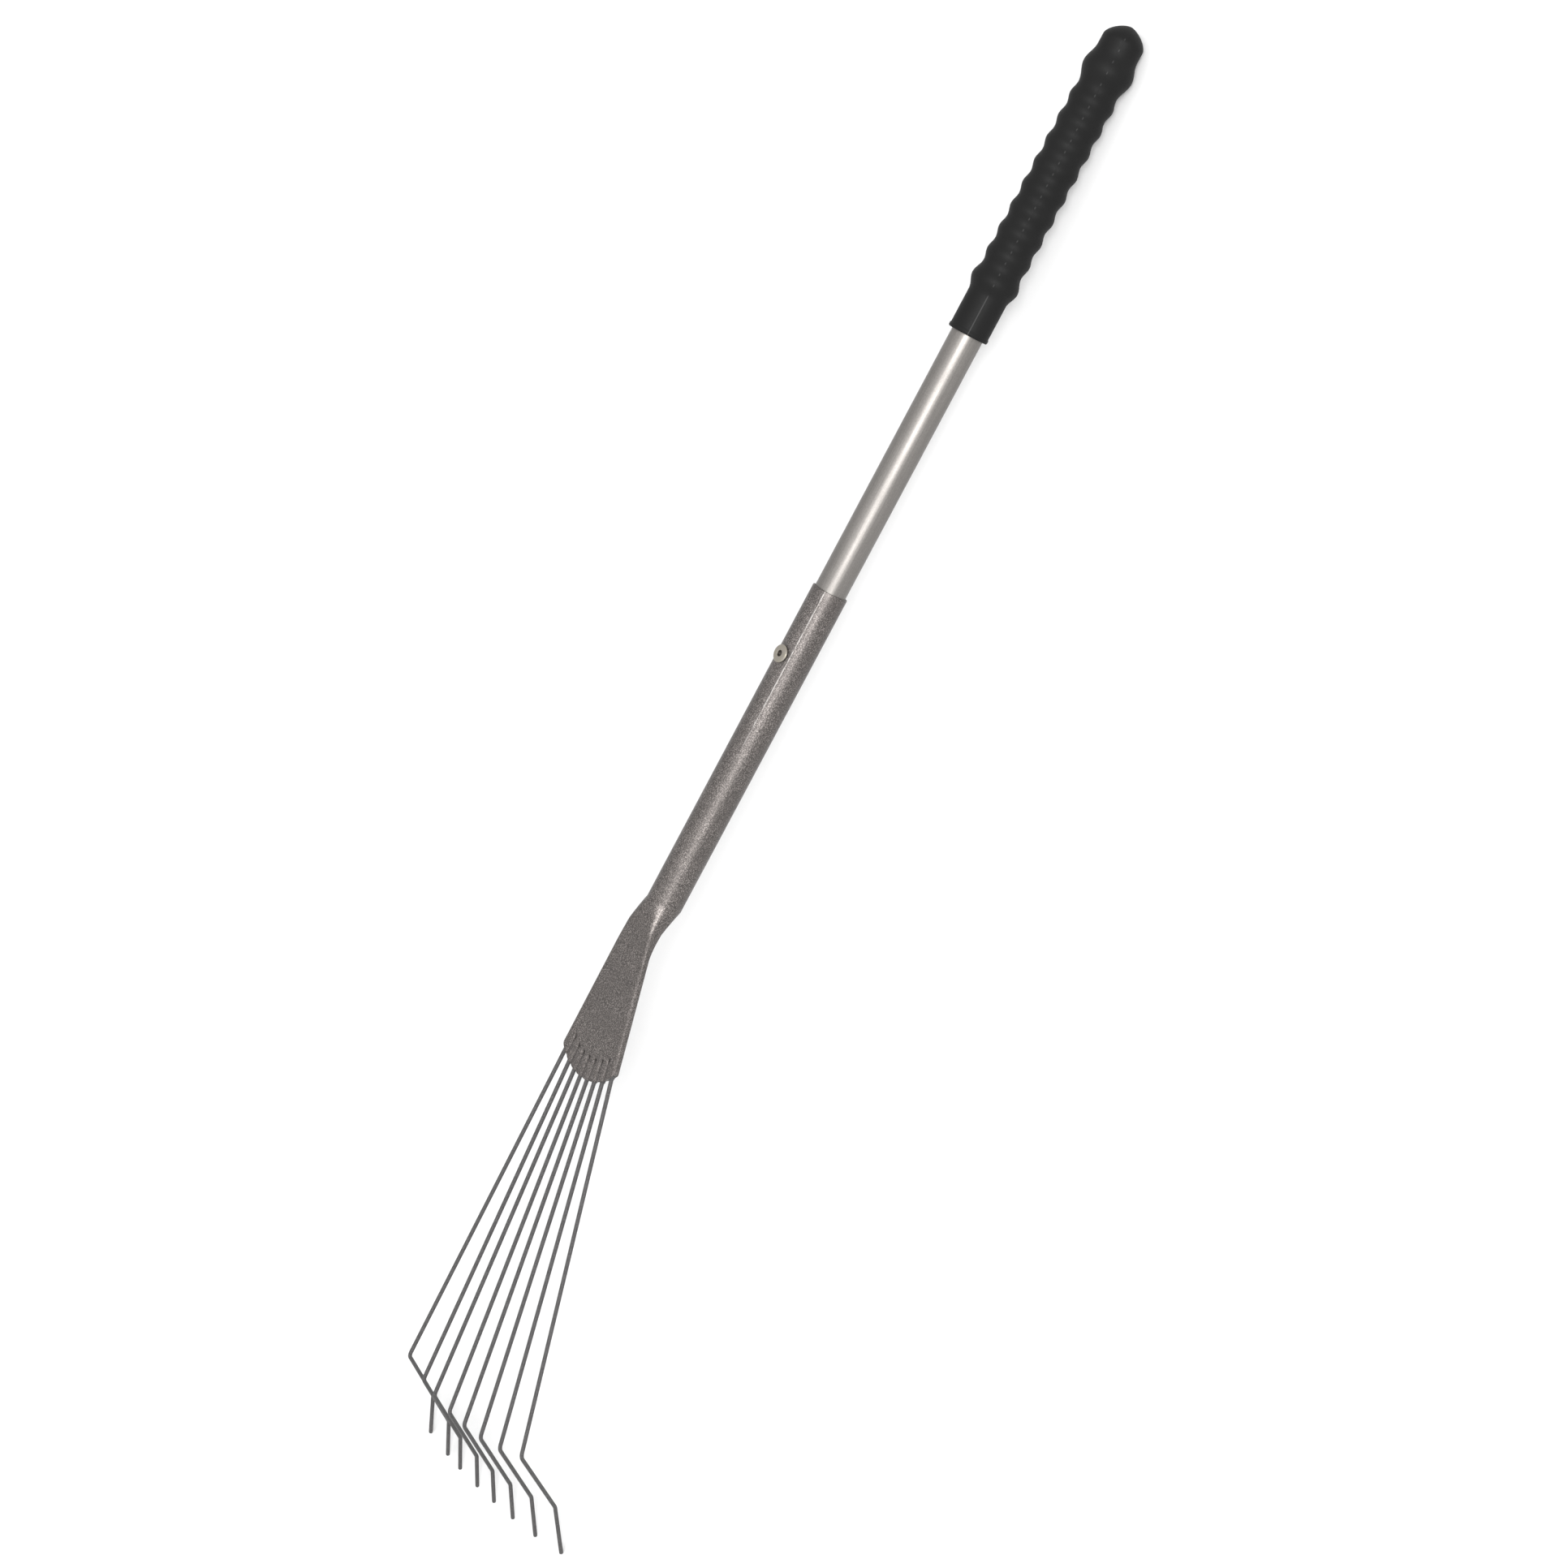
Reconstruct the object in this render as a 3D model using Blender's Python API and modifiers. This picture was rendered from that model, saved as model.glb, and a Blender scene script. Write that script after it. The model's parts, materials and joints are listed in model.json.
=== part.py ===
"""A leaf rake: eight spring steel tines clamped in a flattened tube, with a riveted handle and a moulded grip.

Everything is in metres, +Z up. The rake lies on the ground with its tine tips and its grip touching it.
+X runs from the tines to the grip, +Y to the left as seen by someone who holds the grip.

The head is built level, with the middle of the tine wires at z = 0 and the middle of the plate's round end at
x = 0. The tines are built in the frame of their own empty, which tips them down a little from the plate. The
handle is built along the +Z axis of its own empty, which sits at the crease where the plate's level back meets
the tube's sloping back. A last step lays the whole rake on the ground.
"""

import math

import bmesh
import bpy
import numpy as np
from mathutils import Matrix, Vector

# Handle tubes
UPPER_TUBE_OD = 0.022
UPPER_TUBE_WALL = 0.0012
LOWER_TUBE_WALL = 0.0012
FIT_GAP = 0.0003
LOWER_TUBE_OD = UPPER_TUBE_OD + 2 * (FIT_GAP + LOWER_TUBE_WALL)
LOWER_TUBE_LENGTH = 0.252
TUBE_OVERLAP = 0.077
VISIBLE_UPPER_TUBE = 0.189
CRANK_ANGLE = math.radians(10.65)

# Blind rivet through the overlap of the tubes
RIVET_BELOW_EDGE = 0.050
RIVET_TURN = math.radians(10.0)
RIVET_SLEEVE_OD = 0.0064
RIVET_FLANGE_OD = 0.0124
RIVET_FLANGE_RIM = 0.0008
RIVET_FLANGE_HEIGHT = 0.0016
RIVET_LIP = 0.0004
RIVET_BULGE_OD = 0.0092
RIVET_BULGE_LENGTH = 0.0034
MANDREL_OD = 0.0038
MANDREL_HEAD_OD = 0.0056
MANDREL_HEAD_LENGTH = 0.0024
MANDREL_RECESS = 0.0016

# Grip, measured up from its open end; each rise is how far a shape stands out from the collar
GRIP_LENGTH = 0.220
GRIP_END_WALL = 0.008
GRIP_WALL = 0.0022
GRIP_COLLAR_OD = UPPER_TUBE_OD + 2 * (FIT_GAP + GRIP_WALL)
GRIP_RIM_RISE = 0.0005
GRIP_RIM_HEIGHT = 0.0024
GRIP_RIM_SLOPE = 0.0008
VALLEY_RISE = 0.0002
RIB_RISE = 0.0018
NECK_RISE = 0.0007
LOWER_BULGE_RISE = 0.00305
LOWER_BULGE_HALF = 0.0104
LOWER_BULGE_AT = 0.0372
UPPER_BULGE_RISE = 0.0035
UPPER_BULGE_HALF = 0.0134
GRIP_NECK_LENGTH = 0.0074
GRIP_DOME_HEIGHT = 0.0110
GRIP_DOME_POWER = 1.55
RIB_COUNT = 8
RIBS_FROM = LOWER_BULGE_AT + LOWER_BULGE_HALF
RIBS_TO = GRIP_LENGTH - GRIP_DOME_HEIGHT - GRIP_NECK_LENGTH - 2 * UPPER_BULGE_HALF
RIB_PITCH = (RIBS_TO - RIBS_FROM) / RIB_COUNT

# Head plate and tines
TINE_COUNT = 8
WIRE_OD = 0.0029
PLATE_SKIN = 0.00125
SIDE_SKIN = 0.00135
PLATE_THICKNESS = WIRE_OD + 2 * (FIT_GAP + PLATE_SKIN)
FLAT_LENGTH = 0.098
CREASE_AT = 0.117
ROUND_FROM = 0.0165
FLARE_POWER = 1.6
PLATE_NECK_WIDTH = 0.0305
PLATE_EDGE_RADIUS = 0.0026
EDGE_SHARPNESS = 2.0
END_BOW = 0.0155
END_SHIFT = 0.0012
END_BACK = 0.0010
WIDEST_AT = 0.014
ROOT_SPREAD = 0.0474
ROOT_BOW = 0.014
WIRE_SEAT_DEPTH = 0.030
FAN_ANGLE = math.radians(16.6)
TINE_DROOP = math.radians(1.25)
TINE_SET = [math.radians(a) for a in (-0.3, -0.7, 0.1, 0.1, 0.4, 0.5, 0.2, -0.3)]
TINE_STRAIGHT = 0.2756
TINE_HOOK = 0.0648
HOOK_ANGLE = math.radians(45.5)
TINE_TOE = 0.0313
TOE_EXTRA_OUTSIDE = 0.0115
TOE_ANGLE = math.radians(24.7)
BEND_RADIUS = 0.008

# Fineness of the round shapes
TUBE_STEPS = 48
GRIP_STEPS = 32
RIB_STEPS = 6
LOWER_BULGE_STEPS = 8
UPPER_BULGE_STEPS = 10
DOME_STEPS = 9
RIVET_STEPS = 24
CROWN_STEPS = 6
CORNER_STEPS = 12
END_STEPS = 24
PLATE_STEPS = 5
FLARE_STEPS = 14
SEAT_STEPS = 12
BEND_STEPS = 6
WIRE_SIDES_LEVEL = 2
MERGE = 0.00001


# ---------------------------------------------------------------- scene helpers

def clear_scene():
    for obj in list(bpy.data.objects):
        bpy.data.objects.remove(obj)


def new_collection(name):
    group = bpy.data.collections.new(name)
    bpy.context.scene.collection.children.link(group)
    return group


def make_material(name, colour, roughness, metallic):
    mat = bpy.data.materials.new(name)
    mat.use_nodes = True
    shader = mat.node_tree.nodes["Principled BSDF"]
    shader.inputs["Base Color"].default_value = (*colour, 1.0)
    shader.inputs["Roughness"].default_value = roughness
    shader.inputs["Metallic"].default_value = metallic
    mat.diffuse_color = (*colour, 1.0)
    return mat


def make_empty(name, group, parent=None, location=(0, 0, 0), rotation=(0, 0, 0)):
    empty = bpy.data.objects.new(name, None)
    group.objects.link(empty)
    empty.parent = parent
    empty.location = location
    empty.rotation_euler = rotation
    return empty


def place(name, data, group, parent, location=(0, 0, 0), rotation=(0, 0, 0), mat=None):
    """Make an object from its data, in a collection and under a parent."""
    obj = bpy.data.objects.new(name, data)
    group.objects.link(obj)
    obj.parent = parent
    obj.location = location
    obj.rotation_euler = rotation
    if mat:
        obj.data.materials.append(mat)
    return obj


def turned(obj, steps):
    """Turn a profile at +X into a solid of revolution about the object's Z axis."""
    screw = obj.modifiers.new("Turn", "SCREW")
    screw.axis = "Z"
    screw.angle = 2 * math.pi
    screw.steps = steps
    screw.render_steps = steps
    screw.use_merge_vertices = True
    screw.merge_threshold = MERGE
    screw.use_smooth_shade = True
    return obj


def profile_mesh(name, points, closed):
    """A line of (radius, height) points, running down its outer side."""
    mesh = bpy.data.meshes.new(name)
    edges = [(i, i + 1) for i in range(len(points) - 1)]
    if closed:
        edges.append((len(points) - 1, 0))
    mesh.from_pydata([(radius, 0.0, height) for radius, height in points], edges, [])
    return mesh


def hide_cutter(obj):
    obj.hide_render = True
    obj.display_type = "WIRE"
    return obj


def cut(obj, cutter):
    """Take a cutter away from an object."""
    boolean = obj.modifiers.new("Cut " + cutter.name, "BOOLEAN")
    boolean.operation = "DIFFERENCE"
    boolean.solver = "EXACT"
    boolean.object = cutter


def soften(obj, angle=math.radians(40.0)):
    """Shade a finished mesh smooth, with its real edges kept sharp."""
    obj.data.shade_smooth()
    obj.data.set_sharp_from_angle(angle=angle)


def apply_modifiers(obj):
    """Replace an object's mesh by its evaluated mesh and shade it."""
    bpy.context.view_layer.update()
    evaluated = obj.evaluated_get(bpy.context.evaluated_depsgraph_get())
    obj.data = bpy.data.meshes.new_from_object(evaluated)
    obj.data.name = obj.name
    obj.modifiers.clear()
    soften(obj)


# ---------------------------------------------------------------- frames

def handle_empty(group, root):
    """The handle's axis: its back line meets the plate's level back at the crease."""
    drop = PLATE_THICKNESS / 2 - LOWER_TUBE_OD / 2 / math.cos(CRANK_ANGLE)
    return make_empty("handle_axis", group, root, (CREASE_AT, 0, drop), (0, math.pi / 2 + CRANK_ANGLE, 0))


def rivet_empty(group, handle):
    """The rivet's axis, with +Z pointing out of the tubes, turned from the handle's back to the left."""
    height = LOWER_TUBE_LENGTH - RIVET_BELOW_EDGE
    outward = Vector((-math.cos(RIVET_TURN), math.sin(RIVET_TURN), 0))
    along = Vector((0, 0, 1))
    side = outward.cross(along)
    empty = make_empty("rivet_axis", group, handle, (0, 0, height))
    empty.rotation_euler = Matrix((along, side, outward)).transposed().to_euler()
    return empty


# ---------------------------------------------------------------- handle

def upper_tube(group, cutters, handle, rivet, mat):
    """The slim tube, from inside the lower tube to inside the grip."""
    outer = UPPER_TUBE_OD / 2
    inner = outer - UPPER_TUBE_WALL
    bottom = LOWER_TUBE_LENGTH - TUBE_OVERLAP
    top = LOWER_TUBE_LENGTH + VISIBLE_UPPER_TUBE + GRIP_LENGTH - GRIP_END_WALL - FIT_GAP
    ring = [(outer, top), (outer, bottom), (inner, bottom), (inner, top)]
    obj = place("upper_tube", profile_mesh("upper_tube", ring, True), group, handle, mat=mat)
    turned(obj, TUBE_STEPS)
    cut(obj, rivet_hole("upper_rivet_hole", cutters, rivet))
    apply_modifiers(obj)
    return obj


def rivet_hole(name, cutters, rivet):
    """A straight drill from the tube's axis outwards, one fit gap wider than the rivet's sleeve."""
    mesh = bpy.data.meshes.new(name)
    bm = bmesh.new()
    radius = RIVET_SLEEVE_OD / 2 + FIT_GAP
    middle = Matrix.Translation((0, 0, LOWER_TUBE_OD / 2))
    bmesh.ops.create_cone(bm, cap_ends=True, segments=RIVET_STEPS, radius1=radius, radius2=radius,
                          depth=LOWER_TUBE_OD, matrix=middle)
    bm.to_mesh(mesh)
    bm.free()
    return hide_cutter(place(name, mesh, cutters, rivet))


def section(half_width, half_height, radius):
    """A rounded rectangle as a ring of (across, up) points, which is a circle when all three are equal."""
    ring = []
    for quarter, (sx, sz) in enumerate(((1, 1), (-1, 1), (-1, -1), (1, -1))):
        for i in range(CORNER_STEPS):
            turn = (quarter + (i + 0.5) / CORNER_STEPS) * math.pi / 2
            across = sx * (half_width - radius) + radius * math.cos(turn)
            up = sz * (half_height - radius) + radius * math.sin(turn)
            ring.append((across, up))
    return ring


def plate_half_end():
    """Half the plate's width at the corners of its round end."""
    return ROOT_SPREAD / 2 + WIRE_OD / 2 + FIT_GAP + SIDE_SKIN


def bow_radius(half, bow):
    """The radius of an arc from its half width and how far its middle stands out."""
    return (half * half + bow * bow) / (2 * bow)


def end_line(across):
    """How far back the plate's round end lies at a distance from the middle. Its arc sits a little to the left."""
    radius = bow_radius(plate_half_end(), END_BOW)
    off = across - END_SHIFT
    return END_BACK + radius - math.sqrt(radius * radius - off * off)


def root_line(across):
    """How far back a tine's length is measured from, on an arc about level with the round end."""
    radius = bow_radius(plate_half_end(), ROOT_BOW)
    return radius - math.sqrt(radius * radius - across * across)


def plate_half_width(x):
    """The plate's sides run straight from the neck out to where the plate is widest, at the round end."""
    share = (FLAT_LENGTH - x) / (FLAT_LENGTH - WIDEST_AT)
    return PLATE_NECK_WIDTH / 2 + share * (plate_half_end() - PLATE_NECK_WIDTH / 2)


def back_line(distance):
    """A point on the head's back, at a distance behind the end of the full flat, round the crease."""
    level = CREASE_AT - FLAT_LENGTH
    if distance <= level:
        return Vector((FLAT_LENGTH + distance, 0, PLATE_THICKNESS / 2))
    forward = Vector((math.cos(CRANK_ANGLE), 0, -math.sin(CRANK_ANGLE)))
    return Vector((CREASE_AT, 0, PLATE_THICKNESS / 2)) + forward * (distance - level)


def blend(low, high, share):
    return low + (high - low) * share


def head_rings():
    """Rings of points from beyond the plate's end, over the flare, to the open top of the lower tube."""
    rings = []
    half_height = PLATE_THICKNESS / 2
    tube = LOWER_TUBE_OD / 2
    for x in np.linspace(-END_BOW / 2, FLAT_LENGTH, PLATE_STEPS + 1):
        ring = section(plate_half_width(x), half_height, PLATE_EDGE_RADIUS)
        rings.append([Vector((x, across, up)) for across, up in ring])
    shift = CREASE_AT - FLAT_LENGTH + tube * math.tan(CRANK_ANGLE)
    flare = shift + ROUND_FROM
    distances = [flare * i / FLARE_STEPS for i in range(1, FLARE_STEPS + 1)]
    distances.append(shift + LOWER_TUBE_LENGTH)
    for distance in distances:
        share = min(distance / flare, 1.0) ** FLARE_POWER
        wide = blend(plate_half_width(FLAT_LENGTH + min(distance, flare)), tube, share)
        high = blend(half_height, tube, share)
        radius = blend(PLATE_EDGE_RADIUS, tube, share ** EDGE_SHARPNESS)
        lean = CRANK_ANGLE * share
        outward = Vector((math.sin(lean), 0, math.cos(lean)))
        centre = back_line(distance) - outward * high
        ring = section(wide, high, radius)
        rings.append([centre + Vector((0, across, 0)) + outward * up for across, up in ring])
    return rings


def loft(name, rings):
    """Skin rings of equal length into one closed mesh."""
    bm = bmesh.new()
    loops = [[bm.verts.new(point) for point in ring] for ring in rings]
    count = len(rings[0])
    for low, high in zip(loops, loops[1:]):
        for i in range(count):
            j = (i + 1) % count
            bm.faces.new((low[i], low[j], high[j], high[i]))
    bm.faces.new(list(reversed(loops[0])))
    bm.faces.new(loops[-1])
    bmesh.ops.recalc_face_normals(bm, faces=bm.faces)
    mesh = bpy.data.meshes.new(name)
    bm.to_mesh(mesh)
    bm.free()
    return mesh


def end_cutter(cutters, root):
    """What lies beyond the plate's round end, as a flat outline with thickness."""
    half = plate_half_end()
    spare = 3 * PLATE_THICKNESS
    outline = [(end_line(across), across) for across in np.linspace(-half, half, END_STEPS + 1)]
    outline.append((outline[-1][0], half + spare))
    outline.append((-END_BOW - spare, half + spare))
    outline.append((-END_BOW - spare, -half - spare))
    outline.append((outline[0][0], -half - spare))
    curve = bpy.data.curves.new("plate_end_cutter", "CURVE")
    curve.dimensions = "2D"
    curve.fill_mode = "BOTH"
    curve.extrude = PLATE_THICKNESS
    spline = curve.splines.new("POLY")
    spline.points.add(len(outline) - 1)
    for point, (x, y) in zip(spline.points, outline):
        point.co = (x, y, 0, 1)
    spline.use_cyclic_u = True
    flat = place("plate_end_outline", curve, cutters, root)
    bpy.context.view_layer.update()
    evaluated = flat.evaluated_get(bpy.context.evaluated_depsgraph_get())
    mesh = bpy.data.meshes.new_from_object(evaluated)
    bm = bmesh.new()
    bm.from_mesh(mesh)
    bmesh.ops.remove_doubles(bm, verts=bm.verts, dist=MERGE)
    bmesh.ops.recalc_face_normals(bm, faces=bm.faces)
    bm.to_mesh(mesh)
    bm.free()
    cutter = hide_cutter(place("plate_end_cutter", mesh, cutters, root))
    cutter.matrix_world = flat.matrix_world
    bpy.data.objects.remove(flat)
    return cutter


def tube_bore(cutters, handle):
    """The lower tube's hollow, from its open top down to where it starts to flare."""
    depth = LOWER_TUBE_LENGTH - ROUND_FROM + LOWER_TUBE_OD
    radius = UPPER_TUBE_OD / 2 + FIT_GAP
    mesh = bpy.data.meshes.new("lower_tube_bore")
    bm = bmesh.new()
    middle = Matrix.Translation((0, 0, ROUND_FROM + depth / 2))
    bmesh.ops.create_cone(bm, cap_ends=True, segments=TUBE_STEPS, radius1=radius, radius2=radius,
                          depth=depth, matrix=middle)
    bm.to_mesh(mesh)
    bm.free()
    return hide_cutter(place("lower_tube_bore", mesh, cutters, handle))


def wire_seats(cutters, fan):
    """The crimped seats of the wires, one round pocket for each tine."""
    mesh = bpy.data.meshes.new("wire_seats")
    bm = bmesh.new()
    radius = WIRE_OD / 2 + FIT_GAP
    spare = 2 * ROOT_BOW
    depth = WIRE_SEAT_DEPTH + spare
    for number in range(TINE_COUNT):
        start, direction = tine_line(number)
        middle = start - direction * WIRE_SEAT_DEPTH + direction * (depth / 2)
        turn = direction.to_track_quat("Z", "Y").to_matrix().to_4x4()
        bmesh.ops.create_cone(bm, cap_ends=True, segments=SEAT_STEPS, radius1=radius, radius2=radius,
                              depth=depth, matrix=Matrix.Translation(middle) @ turn)
    bm.to_mesh(mesh)
    bm.free()
    return hide_cutter(place("wire_seats", mesh, cutters, fan))


def lower_tube(group, cutters, root, fan, handle, rivet, mat):
    """The wide tube with its flattened and flared lower end, which is the head plate."""
    obj = place("lower_tube", loft("lower_tube", head_rings()), group, root, mat=mat)
    cut(obj, end_cutter(cutters, root))
    cut(obj, tube_bore(cutters, handle))
    cut(obj, rivet_hole("lower_rivet_hole", cutters, rivet))
    cut(obj, wire_seats(cutters, fan))
    apply_modifiers(obj)
    return obj


# ---------------------------------------------------------------- rivet

def rivet_body(group, rivet, mat):
    """The blind rivet's sleeve: a domed flange outside and a swelled end inside the upper tube."""
    seat = LOWER_TUBE_OD / 2 + FIT_GAP
    bulge = RIVET_BULGE_OD / 2
    inner_wall = UPPER_TUBE_OD / 2 - UPPER_TUBE_WALL
    bulge_top = math.sqrt(inner_wall ** 2 - bulge ** 2) - FIT_GAP
    sleeve = RIVET_SLEEVE_OD / 2
    bore = MANDREL_OD / 2 + FIT_GAP
    flange = RIVET_FLANGE_OD / 2
    crown = seat + RIVET_FLANGE_HEIGHT
    shoulder = seat + RIVET_FLANGE_RIM
    ring = [(bore, crown)]
    lip = bore + RIVET_LIP
    for i in range(CROWN_STEPS + 1):
        turn = math.pi / 2 * (1 - i / CROWN_STEPS)
        ring.append((lip + (flange - lip) * math.cos(turn), shoulder + (crown - shoulder) * math.sin(turn)))
    ring += [(flange, seat), (sleeve, seat), (sleeve, bulge_top), (bulge, bulge_top)]
    ring += [(bulge, bulge_top - RIVET_BULGE_LENGTH / 2), (sleeve, bulge_top - RIVET_BULGE_LENGTH)]
    ring += [(bore, bulge_top - RIVET_BULGE_LENGTH)]
    obj = place("rivet_body", profile_mesh("rivet_body", ring, True), group, rivet, mat=mat)
    turned(obj, RIVET_STEPS)
    apply_modifiers(obj)
    return obj


def rivet_mandrel(group, rivet, mat):
    """The pin left in the rivet: broken off inside the flange, with its head under the swelled end."""
    crown = LOWER_TUBE_OD / 2 + FIT_GAP + RIVET_FLANGE_HEIGHT
    inner_wall = UPPER_TUBE_OD / 2 - UPPER_TUBE_WALL
    bulge_top = math.sqrt(inner_wall ** 2 - (RIVET_BULGE_OD / 2) ** 2) - FIT_GAP
    head_top = bulge_top - RIVET_BULGE_LENGTH - FIT_GAP
    pin = MANDREL_OD / 2
    head = MANDREL_HEAD_OD / 2
    line = [(0, crown - MANDREL_RECESS), (pin, crown - MANDREL_RECESS), (pin, head_top), (head, head_top)]
    for i in range(1, CROWN_STEPS + 1):
        turn = math.pi / 2 * i / CROWN_STEPS
        line.append((head * math.cos(turn), head_top - MANDREL_HEAD_LENGTH * math.sin(turn)))
    line[-1] = (0, head_top - MANDREL_HEAD_LENGTH)
    obj = place("rivet_mandrel", profile_mesh("rivet_mandrel", line, False), group, rivet, mat=mat)
    turned(obj, RIVET_STEPS)
    apply_modifiers(obj)
    return obj


# ---------------------------------------------------------------- grip

def swell(height, middle, half, rise):
    """A smooth bulge: how much the radius grows over the valleys' at a height."""
    distance = abs(height - middle) / half
    if distance >= 1:
        return 0.0
    return (rise - VALLEY_RISE) * 0.5 * (1 + math.cos(math.pi * distance))


def grip_heights():
    """Heights at which the grip's outline has points, from its open end to the foot of its dome."""
    bulge_from = LOWER_BULGE_AT - LOWER_BULGE_HALF
    heights = [0.0, GRIP_RIM_HEIGHT, GRIP_RIM_HEIGHT + GRIP_RIM_SLOPE]
    heights += list(np.linspace(bulge_from, RIBS_FROM, LOWER_BULGE_STEPS + 1))
    heights += list(np.linspace(RIBS_FROM, RIBS_TO, RIB_COUNT * RIB_STEPS + 1))[1:]
    heights += list(np.linspace(RIBS_TO, RIBS_TO + 2 * UPPER_BULGE_HALF, UPPER_BULGE_STEPS + 1))[1:]
    heights.append(GRIP_LENGTH - GRIP_DOME_HEIGHT)
    return heights


def grip_radius(height):
    """The grip's outer radius below its dome."""
    bulge_from = LOWER_BULGE_AT - LOWER_BULGE_HALF
    collar = GRIP_COLLAR_OD / 2
    valley = collar + VALLEY_RISE
    neck = collar + NECK_RISE
    if height <= GRIP_RIM_HEIGHT:
        return collar + GRIP_RIM_RISE
    if height <= bulge_from:
        return collar
    if height < RIBS_FROM:
        base = blend(collar, valley, (height - bulge_from) / (RIBS_FROM - bulge_from))
        return base + swell(height, LOWER_BULGE_AT, LOWER_BULGE_HALF, LOWER_BULGE_RISE)
    if height <= RIBS_TO:
        wave = 0.5 * (1 - math.cos(2 * math.pi * (height - RIBS_FROM) / RIB_PITCH))
        return valley + (RIB_RISE - VALLEY_RISE) * wave
    base = blend(valley, neck, min((height - RIBS_TO) / (2 * UPPER_BULGE_HALF), 1.0))
    return base + swell(height, RIBS_TO + UPPER_BULGE_HALF, UPPER_BULGE_HALF, UPPER_BULGE_RISE)


def grip(group, handle, mat):
    """The moulded grip: a sleeve with a domed closed top, ribs for the fingers and a bulge at each end."""
    start = LOWER_TUBE_LENGTH + VISIBLE_UPPER_TUBE
    bore = UPPER_TUBE_OD / 2 + FIT_GAP
    dome_foot = GRIP_LENGTH - GRIP_DOME_HEIGHT
    dome_radius = GRIP_COLLAR_OD / 2 + NECK_RISE
    line = [(0, start + GRIP_LENGTH)]
    for i in range(1, DOME_STEPS):
        rise = (1 - i / DOME_STEPS) ** GRIP_DOME_POWER
        radius = dome_radius * (1 - rise ** GRIP_DOME_POWER) ** (1 / GRIP_DOME_POWER)
        line.append((radius, start + dome_foot + GRIP_DOME_HEIGHT * rise))
    for height in reversed(grip_heights()):
        line.append((grip_radius(height), start + height))
    line.append((bore, start))
    line.append((bore, start + GRIP_LENGTH - GRIP_END_WALL))
    line.append((0, start + GRIP_LENGTH - GRIP_END_WALL))
    obj = place("grip", profile_mesh("grip", line, False), group, handle, mat=mat)
    turned(obj, GRIP_STEPS)
    apply_modifiers(obj)
    return obj


# ---------------------------------------------------------------- tines

def tine_share(number):
    """A tine's place across the fan, from +1 at the left to -1 at the right."""
    return 1 - 2 * number / (TINE_COUNT - 1)


def tine_line(number):
    """Where a tine leaves the plate, and its direction there."""
    share = tine_share(number)
    across = share * ROOT_SPREAD / 2
    turn = share * FAN_ANGLE / 2
    if number < len(TINE_SET):
        turn += TINE_SET[number]
    return Vector((root_line(across), across, 0)), Vector((-math.cos(turn), math.sin(turn), 0))


def rounded_path(corners, radius):
    """A path through corners, with each bend as an arc of a radius."""
    path = [corners[0]]
    for before, corner, after in zip(corners, corners[1:], corners[2:]):
        come = (corner - before).normalized()
        leave = (after - corner).normalized()
        turn = come.angle(leave)
        back = radius * math.tan(turn / 2)
        centre_way = (leave - come).normalized()
        centre = corner + centre_way * (radius / math.cos(turn / 2))
        start = corner - come * back - centre
        axis = come.cross(leave).normalized()
        for i in range(BEND_STEPS + 1):
            path.append(centre + Matrix.Rotation(turn * i / BEND_STEPS, 3, axis) @ start)
    path.append(corners[-1])
    return path


def tine_path(number):
    """A tine: straight out of its seat, hooked down towards the ground, then a flatter toe."""
    root, direction = tine_line(number)
    down = Vector((0, 0, -1))
    start = root - direction * (WIRE_SEAT_DEPTH - FIT_GAP)
    bend = root + direction * TINE_STRAIGHT
    hook = direction * math.cos(HOOK_ANGLE) + down * math.sin(HOOK_ANGLE)
    toe = direction * math.cos(TOE_ANGLE) + down * math.sin(TOE_ANGLE)
    knee = bend + hook * TINE_HOOK
    tip = knee + toe * (TINE_TOE + TOE_EXTRA_OUTSIDE * tine_share(number) ** 2)
    return rounded_path([start, bend, knee, tip], BEND_RADIUS)


def tine(group, fan, number, mat):
    name = "tine_%d" % (number + 1)
    curve = bpy.data.curves.new(name, "CURVE")
    curve.dimensions = "3D"
    curve.bevel_depth = WIRE_OD / 2
    curve.bevel_resolution = WIRE_SIDES_LEVEL
    curve.use_fill_caps = True
    path = tine_path(number)
    spline = curve.splines.new("POLY")
    spline.points.add(len(path) - 1)
    for point, place_at in zip(spline.points, path):
        point.co = (*place_at, 1)
    return place(name, curve, group, fan, mat=mat)


# ---------------------------------------------------------------- on the ground

def world_points(objects):
    """All evaluated vertices of some objects, in the world."""
    bpy.context.view_layer.update()
    graph = bpy.context.evaluated_depsgraph_get()
    clouds = []
    for obj in objects:
        evaluated = obj.evaluated_get(graph)
        mesh = evaluated.to_mesh()
        points = np.empty(len(mesh.vertices) * 3, dtype=np.float32)
        mesh.vertices.foreach_get("co", points)
        matrix = np.array(obj.matrix_world, dtype=np.float64)
        clouds.append(points.reshape(-1, 3) @ matrix[:3, :3].T + matrix[:3, 3])
        evaluated.to_mesh_clear()
    return np.vstack(clouds)


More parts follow.
